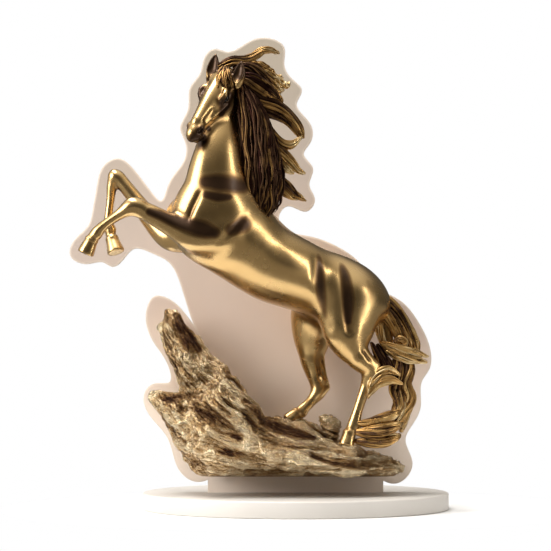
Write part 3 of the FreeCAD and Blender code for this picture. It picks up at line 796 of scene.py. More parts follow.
def cast_horse():
    """Body castings from one coarse field, and the head from a finer one."""
    body = Field(*BODY_BOX, BODY_VOXEL)
    build_horse(body)
    seams = list(SEAMS.values())
    for coronet, sole, _, _ in HOOVES.values():
        way = np.array(sole) - np.array(coronet)
        seams.append((tuple(np.array(coronet) + HOOF_SEAM * way), tuple(way), HOOF_REACH))
    whole = cut_apart(*surface(body), seams)
    made = castings(whole, PROBES, body)
    whole.free()
    fine = Field(*HEAD_BOX, HEAD_VOXEL)
    build_horse(fine)
    whole = cut_apart(*surface(fine), [SEAMS["head"]])
    made.update(castings(whole, {"head": on_head(8.0, 0.0, 1.0)}, fine))
    whole.free()
    # Painted shade, with dark patina, round the eyes, nostrils and mouth, under the jaw and inside the
    # ears.
    spots = [(on_head(*place), reach) for place, reach in DARK_PLACES]
    for base, tip, opening in EARS.values():
        inside = (np.array(base) + np.array(tip)) / 2 + 0.6 * np.array(opening)
        spots += [(inside, 3.0), (inside + unit(np.array(tip) - base) * 2.6, 2.0)]
    darken(made["head"], spots, FACE_SHADE_AND_PATINA)
    # Painted dark reflection bands on the polished body castings.
    streaks = spots_along(DARK_REFLECTION_STREAKS.values(), 8)
    for name in ("torso", "neck", "left_foreleg", "left_hind_leg"):
        darken(made[name], streaks, BODY_REFLECTION_DARKNESS, 0.4)
    return made


def eyeball(name, side):
    """A dark glossy eye: a ball with a slightly raised cornea."""
    a, b, c = EYE_PLACE
    centre = Vector(on_head(a, b * side, c))
    out = Vector(unit(HEAD_SIDE)) * side
    bm = bmesh.new()
    bmesh.ops.create_icosphere(bm, subdivisions=4, radius=EYE_R)
    for v in bm.verts:
        facing = v.co.normalized().dot(out)
        v.co *= 1 + CORNEA_RISE * max(0.0, facing - CORNEA_EDGE) / (1 - CORNEA_EDGE)
        v.co = (v.co + centre) * MM
    for f in bm.faces:
        f.smooth = True
    return object_of(name, bm)


# ---------------------------------------------------------------- hair
LOCK_STEPS = 9  # rings from one point of a lock's path to the next
THINNEST = 0.12
CORE_R, CORE_CORNERS, CORE_TONE = 0.80, 26, -0.25  # the core's share of a lock's radius, and how much darker it is coloured: painted shade between the strands
CORE_RIDGES, RIDGE_DEPTH = 9, 0.10
STRAND_CORNERS = 6


def frames(line):
    """Directions across a line of points that turn with it as little as they can."""
    tangent = np.gradient(line, axis=0)
    tangent /= np.maximum(np.linalg.norm(tangent, axis=1, keepdims=True), 1e-9)
    side = np.cross(tangent[0], (0.0, 1.0, 0.0))
    if np.linalg.norm(side) < 0.1:
        side = np.cross(tangent[0], (0.0, 0.0, 1.0))
    sides = []
    for t in tangent:
        side = unit(side - t * (side @ t))
        sides.append(side)
    sides = np.array(sides)
    return sides, np.cross(tangent, sides)


def tube(line, radius, corners, flat=1.0, ridges=0, depth=0.0, turn=0.0):
    """Points and faces of a closed tapered tube; ridges run along it and wind by turn radians."""
    side, across = frames(line)
    angle = np.arange(corners) * 2 * math.pi / corners
    share = np.linspace(0, 1, len(line))[:, None]
    wave = np.ones((len(line), corners))
    if ridges:
        wave = 1 + depth * np.cos(ridges * angle[None, :] + turn * share)
    r = radius[:, None] * wave
    points = (
        line[:, None, :]
        + side[:, None, :] * (r * np.cos(angle))[..., None]
        + across[:, None, :] * (flat * r * np.sin(angle))[..., None]
    ).reshape(-1, 3)
    rings = np.arange(len(line) * corners).reshape(len(line), corners)
    after = np.roll(rings, -1, 1)
    faces = [np.stack([rings[:-1], after[:-1], after[1:], rings[1:]], -1).reshape(-1, 4)]
    ends = np.vstack([line[0] - (line[1] - line[0]) * 0.3, line[-1] + (line[-1] - line[-2]) * 0.5])
    for ring, tip, flip in ((rings[0], len(points), True), (rings[-1], len(points) + 1, False)):
        cap = np.stack([ring, np.roll(ring, -1), np.full(corners, tip)], -1)
        faces.append(cap[:, ::-1] if flip else cap)
    # Hollow-ness for painted shade in the grooves between the core's ridges.
    hollow = (1 - wave).reshape(-1) / depth * 0.5 if ridges else np.zeros(len(points))
    return np.vstack([points, ends]), faces, np.concatenate([hollow, [0, 0]])


def lock(path, rng, strands, wave=0.35, waves=2.5, flat=0.8, twist=1.2, fray=0.25):
    """One lock of hair: a ridged core and finer strands that wind round it and part at its tip."""
    rows = spline(path, LOCK_STEPS)
    line, radius = rows[:, :3], np.maximum(rows[:, 3], THINNEST)
    side, across = frames(line)
    share = np.linspace(0, 1, len(line))
    core = tube(line, radius * CORE_R, CORE_CORNERS, flat, CORE_RIDGES, RIDGE_DEPTH, twist * 2)
    parts = [(*core, share, CORE_TONE)]
    for i in range(strands):
        around = 2 * math.pi * (i + rng.uniform(-0.3, 0.3)) / strands
        out = rng.uniform(0.66, 0.92)
        phase, size = rng.uniform(0, 2 * math.pi), wave * rng.uniform(0.5, 1.3)
        wind = around + twist * share + 0.35 * np.sin(2.4 * share + phase)
        sway = size * np.sin(2 * math.pi * waves * share + phase) * (0.3 + 0.7 * share)
        loose = 1 + fray * share**3 * rng.uniform(-0.5, 2.0)
        away = radius * out * loose
        strand = (
            line
            + side * (away * np.cos(wind) + sway * 0.7)[:, None]
            + across * (flat * away * np.sin(wind) + sway * 0.3)[:, None]
        )
        thick = THINNEST + radius * rng.uniform(0.09, 0.20)
        taper = np.clip((1.04 - share) / 0.30, 0.08, 1) ** 0.8 * np.clip((share + 0.04) / 0.08, 0.3, 1)
        strand = strand[: len(strand) - rng.randint(0, 3)]
        n = len(strand)
        made = tube(strand, (thick * taper)[:n], STRAND_CORNERS)
        parts.append((*made, share[:n], rng.uniform(-0.27, 0.31)))
    return parts


def hair(name, locks, seed, gold, **style):
    """A hair piece from several locks; gold is how bright its root and its tip are coloured, partly a
    painted highlight.
    """
    rng = np.random.RandomState(seed)
    points, quads, threes, hollow, shine = [], [], [], [], []
    base = 0
    for path, strands in locks:
        for p, faces, pit, share, tone in lock(path, rng, strands, **style):
            points.append(p)
            quads.append(faces[0] + base)
            threes += [f + base for f in faces[1:]]
            corners = (len(p) - 2) // len(share)
            along = np.concatenate([np.repeat(share, corners), [0.0, 1.0]])
            shine.append(gold[0] + (gold[1] - gold[0]) * along**1.5 + tone)
            hollow.append(pit)
            base += len(p)
    mesh = bpy.data.meshes.new(name)
    quads, threes = np.vstack(quads), np.vstack(threes)
    mesh.from_pydata((np.vstack(points) * MM).tolist(), [], quads.tolist() + threes.tolist())
    mesh.polygons.foreach_set("use_smooth", np.ones(len(mesh.polygons), bool))
    obj = link(bpy.data.objects.new(name, mesh))
    attribute(obj, "hollow", np.concatenate(hollow))
    attribute(obj, "gold", np.concatenate(shine))
    return obj


# Each piece: its locks as (path of x, y, z and radius, number of strands), its seed, how bright its root
# and tip are coloured, partly a painted highlight, and how it waves.
MANE_AND_TAIL = {
    "mane_streamer": ([
        ([(-27, -40.5, 155.2, 1), (-22.5, -39, 157.4, 1.9), (-18, -37, 157.9, 1.7),
          (-14.5, -36, 159.6, 1.4), (-11.5, -35.5, 161.5, 1.2), (-8.5, -35, 161.6, 0.9),
          (-5.8, -34.5, 160.6, 0.3)], 16),
    ], 3, (0.35, 0.95), dict(wave=0.3, flat=0.7)),
    "mane_crown": ([
        ([(-22, -38.5, 154.6, 2), (-16.5, -38, 154.6, 2.7), (-12, -37.5, 151.8, 2.6),
          (-8.8, -37, 149.5, 1.7), (-6.2, -36.5, 147.8, 0.4)], 22),
        ([(-21, -39.5, 151.2, 2.2), (-15.5, -39.5, 150.4, 3), (-10.5, -39, 147.5, 2.8),
          (-6.8, -38, 145, 1.6), (-4.6, -37.5, 143.4, 0.4)], 22),
        ([(-21, -38, 148, 2.2), (-15.5, -37.5, 147, 3), (-10, -37, 143.8, 2.6),
          (-6, -36.5, 141, 0.8)], 18),
    ], 5, (0.16, 0.46), dict(wave=0.35)),
    "mane_tuft": ([
        ([(-15.5, -36.5, 156.8, 1.4), (-11.5, -36, 155.6, 1.5), (-8.8, -35.5, 153.2, 1.4),
          (-6.2, -35, 151.2, 0.9), (-5.2, -34.8, 153, 0.3)], 14),
        ([(-14, -36.5, 154.6, 1.6), (-9.6, -36, 152.8, 1.7), (-6, -35.5, 150.6, 1.4),
          (-3.4, -35, 149.4, 0.9), (-2.2, -34.6, 150.6, 0.3)], 14),
        ([(-13, -36.5, 153, 1.4), (-9, -36.5, 150.4, 1.7), (-6.4, -36, 148.4, 1.4),
          (-4.2, -35.5, 147.6, 0.4)], 14),
    ], 7, (0.55, 1), dict(wave=0.6, waves=4, fray=0.8)),
    "mane_loop": ([
        ([(-19.5, -38.5, 146, 2.2), (-12, -38, 143.8, 2.6), (-6, -37.5, 141.8, 2.2),
          (-1.4, -36.5, 138.2, 1.6), (1.4, -36, 134.4, 1.1), (2.6, -35.5, 131, 0.4)], 22),
        ([(-18, -37.5, 143, 2.2), (-11.5, -37, 140.8, 2.4), (-6.6, -36.5, 138.9, 1.9),
          (-2.6, -36, 136.2, 1.3), (0.4, -35.5, 132.8, 0.9), (1.6, -35.2, 130.6, 0.3)], 18),
    ], 11, (0.10, 0.55), dict(wave=0.22, waves=1.5, twist=0.5)),
    "mane_return": ([
        ([(-15, -38.5, 139.5, 2.2), (-11, -38.2, 135.2, 1.8), (-7.8, -38, 131.6, 1.5),
          (-4.6, -37.5, 128.8, 1.5), (-1.4, -37, 128.6, 1.3), (1.8, -36.3, 131.4, 0.5)], 18),
    ], 13, (0.08, 1), dict(wave=0.2, waves=1.5)),
    "mane_mid_flick": ([
        ([(-13.5, -39, 129, 2.4), (-9, -38.5, 127.6, 2.5), (-5.2, -38, 125.6, 2.1),
          (-1.8, -37.3, 122.6, 1.6), (0.8, -36.7, 119.8, 1), (3.2, -36.2, 118.6, 0.3)], 22),
        ([(-13, -38.5, 126, 2.2), (-9, -38, 124.2, 2.3), (-5.8, -37.6, 122.4, 1.8), (-3, -37.2, 120, 1.2),
          (-0.8, -36.8, 118.6, 0.4)], 16),
    ], 17, (0.12, 1), dict(wave=0.25, waves=1.5, flat=0.6)),
    "mane_fall": ([
        ([(-19.6, -40.5, 149, 1.6), (-18, -42.2, 141, 2.2), (-17, -43.4, 131, 2.3),
          (-16.2, -44.2, 121, 2.3), (-15.6, -43.6, 112, 1.9), (-16.4, -42.8, 105.4, 0.5)], 20),
        ([(-18.6, -40.2, 148, 2), (-14.8, -42.2, 140, 2.6), (-13.4, -43.4, 130, 2.7),
          (-12.4, -43.8, 120, 2.8), (-12, -43.2, 111, 2.2), (-13.2, -42.4, 103.8, 0.5)], 23),
        ([(-17, -39.6, 146, 2.2), (-12, -41.2, 137.5, 2.6), (-10.2, -42, 128.5, 2.7),
          (-9, -42.2, 119, 2.7), (-8.8, -41.8, 110.5, 2.1), (-10.2, -41.4, 102.4, 0.5)], 23),
        ([(-13, -38.8, 138, 2.2), (-9.4, -39.8, 131, 2.3), (-7.4, -40.2, 123.5, 2.3),
          (-6.2, -40.2, 116, 2.1), (-7, -40, 109, 1.4), (-8.6, -40, 104.4, 0.4)], 20),
        ([(-18, -37, 146, 2.6), (-13.5, -36.6, 135, 3.4), (-11.5, -36.8, 123, 3.8),
          (-11, -37.2, 112, 3.2), (-12.6, -38, 104.6, 0.8)], 25),
    ], 19, (0.06, 0.25), dict(wave=0.75, waves=3.6, twist=1)),
    "mane_low_flick": ([
        ([(-9.5, -38.8, 119, 1.9), (-5.8, -38, 116.2, 1.8), (-2.4, -37.4, 113.6, 1.4),
          (0.4, -36.8, 111, 1), (3.4, -36.2, 109.2, 0.3)], 16),
        ([(-9, -38.4, 115.6, 1.7), (-5.6, -37.8, 113.2, 1.5), (-2.4, -37.2, 110.8, 1),
          (0.8, -36.8, 109.6, 0.3)], 14),
    ], 23, (0.05, 0.75), dict(wave=0.3)),
    "forelock": ([
        (head_path((-1.5, -0.4, 0.6, 0.9), (1.2, -1.4, 1.2, 1.1), (4, -2.8, 0.9, 1),
                   (6.6, -4.3, -0.6, 0.3)), 13),
        (head_path((-1.5, -0.9, 0.4, 0.9), (0.6, -2.6, 0.9, 1.1), (2.6, -4.2, -0.4, 0.9),
                   (4.6, -5.4, -2.4, 0.3)), 13),
        (head_path((-1.5, 0, 0.8, 0.8), (2, -0.4, 1.4, 1), (5, -1.2, 1.2, 0.8),
                   (7.6, -2.2, 0.5, 0.25)), 11),
    ], 29, (0.20, 0.36), dict(wave=0.15, fray=0.5)),
    "tail_dock": ([
        ([(25.5, -16.5, 76.6, 1.6), (31, -17, 74.6, 2.4), (35.8, -17.2, 70.2, 2.6),
          (39.2, -17.8, 65, 2.4), (42, -18.4, 59.6, 1.6), (43.2, -18.8, 56.2, 0.6)], 22),
        ([(25.5, -17, 74, 1.8), (30.2, -18.2, 71.8, 2.4), (34.2, -18.6, 67.6, 2.5),
          (37.2, -19, 62.6, 2.3), (39.4, -19.6, 58, 1.6), (40, -19.8, 55, 0.5)], 22),
        ([(25.5, -14.5, 75, 2), (31.5, -14.4, 72.6, 2.6), (36, -14.6, 67.8, 2.7),
          (39.4, -15.6, 61.8, 2.3), (41, -17, 56.6, 0.8)], 22),
    ], 31, (0.30, 0.62), dict(wave=0.3, waves=2)),
    "tail_inner": ([
        ([(26.5, -17.5, 72, 1.4), (28.6, -18, 68.4, 1.7), (30, -18.2, 63.4, 1.6), (31, -18.4, 59.6, 1.1),
          (31.6, -18.6, 56.6, 0.4)], 16),
        ([(27.5, -16, 73, 1.4), (30.6, -16.2, 68.8, 1.7), (32.6, -16.6, 63.6, 1.5),
          (33.6, -17.4, 58.8, 1), (34, -18, 56, 0.4)], 16),
    ], 37, (0.62, 0.84), dict(wave=0.2, waves=1.5)),
    "tail_spray": ([
        ([(29.5, -22.4, 60, 0.5), (33.5, -22.8, 58.4, 1.5), (38, -22.8, 57, 1.9), (42.4, -22.4, 56, 1.4),
          (46.6, -21.8, 55, 0.4)], 16),
        ([(31.5, -22.6, 57.2, 0.6), (35, -23, 55.6, 1.6), (39, -22.8, 54.4, 1.8), (43, -22.4, 53.6, 1.2),
          (46.2, -21.8, 52.9, 0.4)], 16),
        ([(34.5, -22, 60, 0.9), (36.8, -22.4, 61.2, 1.1), (38.6, -22.2, 59.8, 1),
          (37.6, -22.2, 58.2, 0.5)], 11),
    ], 41, (0.50, 0.86), dict(wave=0.25, flat=0.7)),
    "tail_under": ([
        ([(26.4, -22.5, 60, 0.4), (28.2, -23.2, 56.6, 1.3), (30.4, -23.4, 52.8, 1.8),
          (32.6, -23.2, 48.8, 1.9), (34, -22.8, 45, 1.2)], 16),
        ([(28.6, -21.6, 59.4, 0.5), (30.8, -22, 55.6, 1.4), (33, -22.2, 51.4, 1.8),
          (35, -21.8, 47, 1.4)], 14),
    ], 43, (0.03, 0.30), dict(wave=0.25)),
    "tail_fall": ([
        ([(39, -20.5, 55.5, 1.6), (39.4, -20.8, 50.6, 2.2), (38.6, -21, 45.4, 2.4),
          (40.4, -20.8, 40.4, 2), (38.4, -20.4, 34.4, 1.8), (37, -20, 28.4, 0.8)], 20),
        ([(36, -21, 55, 1.8), (35.6, -21.6, 49.4, 2.3), (35.2, -21.8, 43.6, 2.3),
          (36.8, -21.4, 37.8, 2.2), (34, -21.2, 32, 2), (30, -21.4, 27.6, 0.8)], 20),
        ([(37.5, -18, 56, 2), (37.2, -17.8, 49, 2.8), (37.4, -17.8, 42, 2.9), (36.6, -18, 35, 2.6),
          (33, -18.6, 28, 1.2)], 22),
    ], 47, (0.30, 0.78), dict(wave=0.6, waves=2.5, twist=2.4)),
    "tail_curl": ([
        ([(36.6, -25, 48.6, 0.3), (32.4, -26.4, 50.4, 1.5), (28.8, -27.4, 49, 1.6),
          (26.2, -28.4, 45.6, 1.2), (25, -29.2, 42, 0.3)], 16),
        ([(37.4, -25.2, 45.4, 0.3), (33, -26.6, 47, 1.6), (29.2, -27.6, 45.6, 1.5),
          (26.6, -28.4, 43, 0.9), (25.2, -29, 40.4, 0.3)], 16),
    ], 53, (0.66, 0.74), dict(wave=0.25, flat=0.6)),
    "tail_fan": ([
        ([(20.5, -27.5, 31.6, 0.7), (25, -28.2, 32, 1.6), (30, -28, 33.4, 1.9), (34.4, -26.6, 35, 1.4),
          (36.8, -25, 36, 0.4)], 18),
        ([(20.5, -28, 28.6, 0.8), (25, -29.2, 28.6, 2), (30.5, -29, 29.6, 2.3), (35, -27.2, 30.8, 1.5),
          (37.4, -25.6, 31.6, 0.4)], 20),
        ([(20.5, -27.5, 25.6, 0.7), (25.2, -28.6, 25, 1.9), (30.5, -28.4, 25.4, 2.1),
          (34.6, -27, 26.6, 1.4), (36.8, -25.6, 27.6, 0.4)], 20),
        ([(23, -24, 27, 2), (27.5, -23.5, 29, 3), (31.5, -22.5, 30.6, 3), (34.5, -21.5, 31, 1.6)], 18),
    ], 59, (0.34, 0.72), dict(wave=0.4, waves=1.5, flat=0.75)),
}


# ---------------------------------------------------------------- crag
CRAG_FLOOR = 12.8
CRAG_BACK = -2.05  # y of its flat back, against the panel
CRAG_OUTLINES = {
    "main": [
        (-39.5, 42), (-32.5, 45), (-26, 50.5), (-21.5, 47.5), (-17, 41), (-11, 34.5), (-3, 32.4),
        (5, 30.6), (14, 25.5), (24, 22), (34, 18.5), (37.5, 15.5), (33, 11), (-31, 11), (-36.5, 15),
        (-41, 26),
    ],
    "spire": [
        (-46.5, 72), (-42.5, 69.5), (-38, 65), (-35, 61.5), (-32.5, 57), (-25.5, 50.5), (-30, 40),
        (-40, 40), (-42.5, 51), (-46.3, 58), (-47.6, 66),
    ],
    "ledge": [
        (-51, 41.5), (-48.5, 42.3), (-40, 41.5), (-34, 34), (-31, 20), (-36.5, 15.5), (-41.5, 22.5),
        (-46.3, 31.5), (-49.6, 36.5),
    ],
    "chip": [(8.7, 33.4), (12.2, 34), (15.3, 31), (15.3, 22), (9.7, 23)],
}
CRAG_DEPTHS = {  # back, front, and how far the outline draws in toward the front and the back
    "main": (-1.8, -37, 0.42, 0.10), "spire": (-3.4, -22, 0.30, 0.40), "ledge": (-4, -28, 0.36, 0.40),
    "chip": (-15.6, -22.6, 0.15, 0.30),
}


def outline_distance(x, z, outline):
    """Signed distance in the x-z plane to a closed outline."""
    p = np.array(outline, float)
    q = np.roll(p, -1, axis=0)
    nearest = np.full(np.broadcast(x, z).shape, FAR, np.float32)
    inside = np.zeros(nearest.shape, bool)
    for (ax, az), (bx, bz) in zip(p, q):
        ex, ez = bx - ax, bz - az
        t = np.clip(((x - ax) * ex + (z - az) * ez) / (ex * ex + ez * ez), 0, 1)
        nearest = np.minimum(nearest, (x - ax - t * ex) ** 2 + (z - az - t * ez) ** 2)
        crosses = (az > z) != (bz > z)
        inside ^= crosses & (x < ax + (z - az) * ex / (ez if ez else 1e-9))
    return np.where(inside, -1, 1) * np.sqrt(nearest)


def slab(name):
    """A rock with a given outline that draws in toward its front and back."""
    outline = CRAG_OUTLINES[name]
    back, front, lean, back_lean = CRAG_DEPTHS[name]
    middle = (back + front) / 2

    def distance(x, y, z):
        flat = outline_distance(x, z, outline)
        flat = flat + lean * np.maximum(middle - y, 0) + back_lean * np.maximum(y - middle, 0)
        deep = np.maximum(y - back, front - y) + 0 * flat
        return -smooth_min(-flat, -deep, 4.0).astype(np.float32)

    spread = np.array(outline)
    low, high = spread.min(0), spread.max(0)
    return distance, (low[0], front, low[1]), (high[0], back, high[1])


# Furrows in the crag's face, and knots that stand out of it: x, y, z and radius.
CRAG_FURROWS = [
    [(-43, -19.5, 67.5, 0.8), (-38, -23, 61, 2.4), (-34, -24.5, 55.5, 1.8), (-31, -27, 51, 0.8)],
    [(-44, -29, 42.5, 1), (-37, -33, 38.5, 2.4), (-28, -38, 33, 2.6), (-20, -39, 27.5, 1.4)],
    [(-17.5, -36, 35.5, 1), (-11, -37.5, 29.5, 2.6), (-3.5, -38.5, 26.5, 2.8), (2.5, -38.5, 24.5, 1.2)],
    [(-30, -38.5, 26, 0.8), (-22, -39.5, 21.5, 1.8), (-12, -39.5, 18.8, 1.2)],
    [(6, -38, 21, 0.8), (15, -38, 19, 1.6), (26, -33, 16.8, 0.9)],
]
# Ridges coloured dark: x, y, z and reach.
CRAG_SHADES = [
    [(-18, -30, 39.5, 1.6), (-9.5, -30, 32.4, 2.6), (-1, -30, 28.6, 2.4), (6, -28, 26.6, 1.2)],
    [(-43, -14, 69.5, 1.2), (-38.8, -16, 63.6, 2), (-34.4, -18, 57.6, 1.4)],
    [(-46, -20, 40, 1.4), (-42, -24, 41, 1.6), (-37, -27, 41.5, 1.2)],
]
CRAG_KNOTS = [
    [(-13.5, -34.5, 21.5, 2.2), (-8.5, -35.5, 21, 2.8), (-3.5, -35, 19.5, 2)],
    [(-33, -33, 23.5, 2.6), (-29, -34, 20, 3), (-25, -34.5, 17.5, 2.2)],
    [(-24, -30, 44, 2.4), (-18.5, -32.5, 37, 2.6), (-12.5, -33.5, 31.5, 2)],
    [(-44.5, -17, 64, 1.8), (-42, -18.5, 55, 2.4), (-38, -21, 47.5, 2.6)],
    [(3, -35, 19, 1.8), (12, -34.5, 17, 2), (22, -31, 15.8, 1.6)],
]


def grain_of(points):
    """Coordinates that follow the crag's grain: along it, through it and across it."""
    x, y, z = points.T
    crest = 5.0 + 57 * np.exp(-(x + 47) / 27)
    across = 34 * (z - CRAG_FLOOR) / crest
    along = x * 0.85 - z * 0.35
    return np.stack([along, y, across], axis=1)


def weathered(points):
    """How far each point of the crag moves out: streaks along the grain, knots, and a crumbly foot."""
    x, y, z = points.T
    grain = grain_of(points)
    bend = 1.6 * layered(points / 11, 70, 2)
    warped = grain + np.stack([bend * 2, bend, bend * 1.5], axis=1)
    broad = layered(warped / (17.0, 7.0, 5.2), 71, 3, ridged=True)
    fine = layered(warped / (7.0, 2.6, 1.5), 75, 3, ridged=True)
    knots = layered(points / 6.5, 79, 3)
    crumbs = layered(points / 2.1, 83, 2, ridged=True)
    low = np.clip((26 - z) / 10, 0, 1) * np.clip((4 - x) / 20, 0, 1)
    out = 1.9 * broad * (1 - 0.4 * low) + 0.95 * fine * (1 - 0.4 * low)
    out = out + 1.7 * knots + (0.18 + 0.55 * low) * crumbs
    foot = np.clip((z - CRAG_FLOOR) / 2.0, 0, 1)
    behind = np.clip((-3.2 - y) / 2.0, 0, 1)
    return (out - 0.6) * foot * (0.1 + 0.9 * behind)


def crag():
    """The rock in one casting, with a rounded seat under each hind hoof."""
    field = Field(*CRAG_BOX, CRAG_VOXEL)
    for name, blend in (("main", 0), ("spire", 5.0), ("ledge", 3.0), ("chip", 0.6)):
        field.add(slab(name), blend)
    y, z = (np.arange(field.count[i]) * field.step + field.low[i] for i in (1, 2))
    field.d = np.maximum(field.d, (CRAG_FLOOR - z).astype(np.float32)[None, None, :])
    field.d = np.maximum(field.d, (y - CRAG_BACK).astype(np.float32)[None, :, None])
    for name, (coronet, sole, _, radius) in HOOVES.items():
        if "hind" in name:
            way = np.array(sole) - np.array(coronet)
            below = np.array(sole) + way * 0.1
            field.add(ball(below - (0, 0, 3.4), (radius + 2.6, radius + 2.4, 3.6)), 3.0)
    for path in CRAG_KNOTS:
        field.add(bar(path), 3.5)
    for path in CRAG_FURROWS:
        field.carve(bar(path), 2.5)
    points, quads = surface(field)
    normals = field.normals(points, 1.5)
    out = weathered(points)
    points = points + normals * out[:, None]
    points[:, 2] = np.maximum(points[:, 2], CRAG_FLOOR)
    points[:, 1] = np.minimum(points[:, 1], CRAG_BACK)
    obj = new_mesh("crag_casting", points, quads)
    # Hollow-ness for the colour: painted shade where the weathering sinks in, paler where it stands out.
    attribute(obj, "hollow", np.clip(0.48 - 0.30 * out, 0, 1))
    # Painted shade along the furrows.
    darken(obj, spots_along(CRAG_FURROWS, 6, wider=0.6), 0.95)
    darken(obj, spots_along(CRAG_SHADES, 6), 0.86, 0.25)
    grain = obj.data.attributes.new("grain", "FLOAT_VECTOR", "POINT")
    grain.data.foreach_set("vector", grain_of(points).astype(np.float32).ravel())
    return obj


# ---------------------------------------------------------------- panel and foot
FLAT_ANGLE, SHARP_ANGLE, SMOOTH_ANGLE = (math.radians(a) for a in (1, 35, 30))
BROAD_FACE = 1e-5  # square metres


def polished_copy(node, width, rim=0.0):
    """A copy of a CAD part with small round edges; rim is how wide a lighter border, a painted edge
    highlight, its faces get.
    """
    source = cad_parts[node]
    bm = bmesh.new()
    bm.from_mesh(source.data)
    bm.transform(source.matrix_world)
    bmesh.ops.remove_doubles(bm, verts=bm.verts, dist=1e-6)
    bmesh.ops.dissolve_limit(bm, angle_limit=FLAT_ANGLE, verts=bm.verts, edges=bm.edges)
    layer = bm.verts.layers.float.new("rim")
    sharp = [e for e in bm.edges if e.is_manifold and e.calc_face_angle() > SHARP_ANGLE]
    for v in bm.verts:
        v[layer] = 1.0
    bmesh.ops.bevel(
        bm, geom=sharp, offset=width * MM, segments=2, profile=0.5, affect="EDGES", clamp_overlap=True
    )
    if rim:
        for v in bm.verts:
            v[layer] = 1.0
        wide = [f for f in bm.faces if abs(f.normal.y) > 0.99 and f.calc_area() > BROAD_FACE]
        bmesh.ops.inset_region(bm, faces=wide, thickness=rim * MM, use_even_offset=True)
        for f in wide:
            if f.is_valid:
                for v in f.verts:
                    v[layer] = 0.0
    obj = object_of(node + "_polished", bm)
    obj.data.polygons.foreach_set("use_smooth", np.ones(len(obj.data.polygons), bool))
    obj.data.set_sharp_from_angle(angle=SMOOTH_ANGLE)
    return obj


# ---------------------------------------------------------------- materials
class Nodes:
    """Short calls for the nodes of one tree."""

    def __init__(self, tree):
        self.tree = tree

    def feed(self, socket, value):
        if isinstance(value, bpy.types.NodeSocket):
            self.tree.links.new(value, socket)
        else:
            socket.default_value = value

    def node(self, kind, *values, **settings):
        made = self.tree.nodes.new("ShaderNode" + kind)
        for key, value in settings.items():
            setattr(made, key, value)
        for socket, value in zip(made.inputs, values):
            self.feed(socket, value)
        return made

    def maths(self, operation, *values):
        return self.node("Math", *values, operation=operation).outputs[0]

    def spread(self, value, low, high, to_low=0.0, to_high=1.0, smooth=False):
        kind = "SMOOTHSTEP" if smooth else "LINEAR"
        return self.node("MapRange", value, low, high, to_low, to_high, interpolation_type=kind).outputs[0]

    def ramp(self, value, *stops):
        made = self.node("ValToRGB", value)
        elements = made.color_ramp.elements
        while len(elements) < len(stops):
            elements.new(0.5)
        for element, (at, colour) in zip(elements, stops):
            element.position = at
            element.color = (*colour, 1)
        return made.outputs["Color"]

    def mix(self, share, a, b):
        made = self.node("Mix", data_type="RGBA")
        self.feed(made.inputs["Factor"], share)
        for socket, value in ((made.inputs[6], a), (made.inputs[7], b)):
            self.feed(socket, value if isinstance(value, bpy.types.NodeSocket) else (*value, 1))
        return made.outputs[2]


class Finish(Nodes):
    """A material round one Principled shader."""

    def __init__(self, name, **values):
        self.material = bpy.data.materials.new(name)
        self.material.use_nodes = True
        super().__init__(self.material.node_tree)
        self.shader = self.tree.nodes["Principled BSDF"]
        for key, value in values.items():
            self.shader.inputs[key.replace("_", " ")].default_value = value

    def drive(self, name, value):
        self.feed(self.shader.inputs[name], value)

    def place(self):
        return self.node("TexCoord").outputs["Object"]

    def stored(self, name, vector=False):
        read = self.node("Attribute", attribute_name=name)
        return read.outputs["Vector" if vector else "Fac"]

    def noise(self, scale, detail=3.0, vector=None, roughness=0.5, distortion=0.0):
        made = self.node("TexNoise")
        self.feed(made.inputs["Vector"], vector or self.place())
        made.inputs["Scale"].default_value = scale
        made.inputs["Detail"].default_value = detail
        made.inputs["Roughness"].default_value = roughness
        made.inputs["Distortion"].default_value = distortion
        return made.outputs["Fac"]

    def stretch(self, vector, scale):
        made = self.node("Mapping")
        self.feed(made.inputs["Vector"], vector)
        made.inputs["Scale"].default_value = scale
        return made.outputs["Vector"]

    def bump(self, height, distance, strength=1.0, normal=None):
        made = self.node("Bump")
        made.inputs["Strength"].default_value = strength
        made.inputs["Distance"].default_value = distance * MM
        self.feed(made.inputs["Height"], height)
        if normal is not None:
            self.feed(made.inputs["Normal"], normal)
        return made.outputs["Normal"]


# Bronze colours. BROWN and UMBER also give the polished bronze its painted shade and painted dark
# reflection bands; PLUM and PALE_GOLD end the hair's ramp, from painted groove shade to gold that is partly
# a painted highlight.
GOLD = (0.62, 0.41, 0.165)
PALE_GOLD = (0.92, 0.76, 0.46)
DEEP_GOLD = (0.46, 0.26, 0.085)
BROWN = (0.26, 0.145, 0.05)
UMBER = (0.060, 0.029, 0.012)
PLUM = (0.030, 0.012, 0.009)


def polished_bronze():
    f = Finish("polished_bronze", Metallic=1.0, Coat_Weight=0.5, Coat_Roughness=0.28)
    hollow = f.stored("hollow")
    cloud = f.noise(90.0, 3.0)
    # The hollow-ness is painted occlusion shade, painted shade with patina in the face, and painted dark
    # reflection bands on the body; it turns the gold brown, then umber.
    shade_reflection_and_patina = f.maths("ADD", hollow, f.spread(cloud, 0.35, 0.65, -0.05, 0.05))
    metal = f.mix(f.spread(f.noise(30.0, 2.0), 0.35, 0.65), GOLD, (0.67, 0.46, 0.20))
    shaded = f.mix(f.spread(shade_reflection_and_patina, 0.14, 0.40), metal, BROWN)
    f.drive("Base Color", f.mix(f.spread(shade_reflection_and_patina, 0.36, 0.64), shaded, UMBER))
    f.drive("Roughness", f.spread(f.maths("ADD", f.noise(120.0, 3.0), hollow), 0.3, 1.4, 0.20, 0.46))
    f.drive("Normal", f.bump(f.noise(700.0, 2.0), 0.012, 0.5))
    return f.material


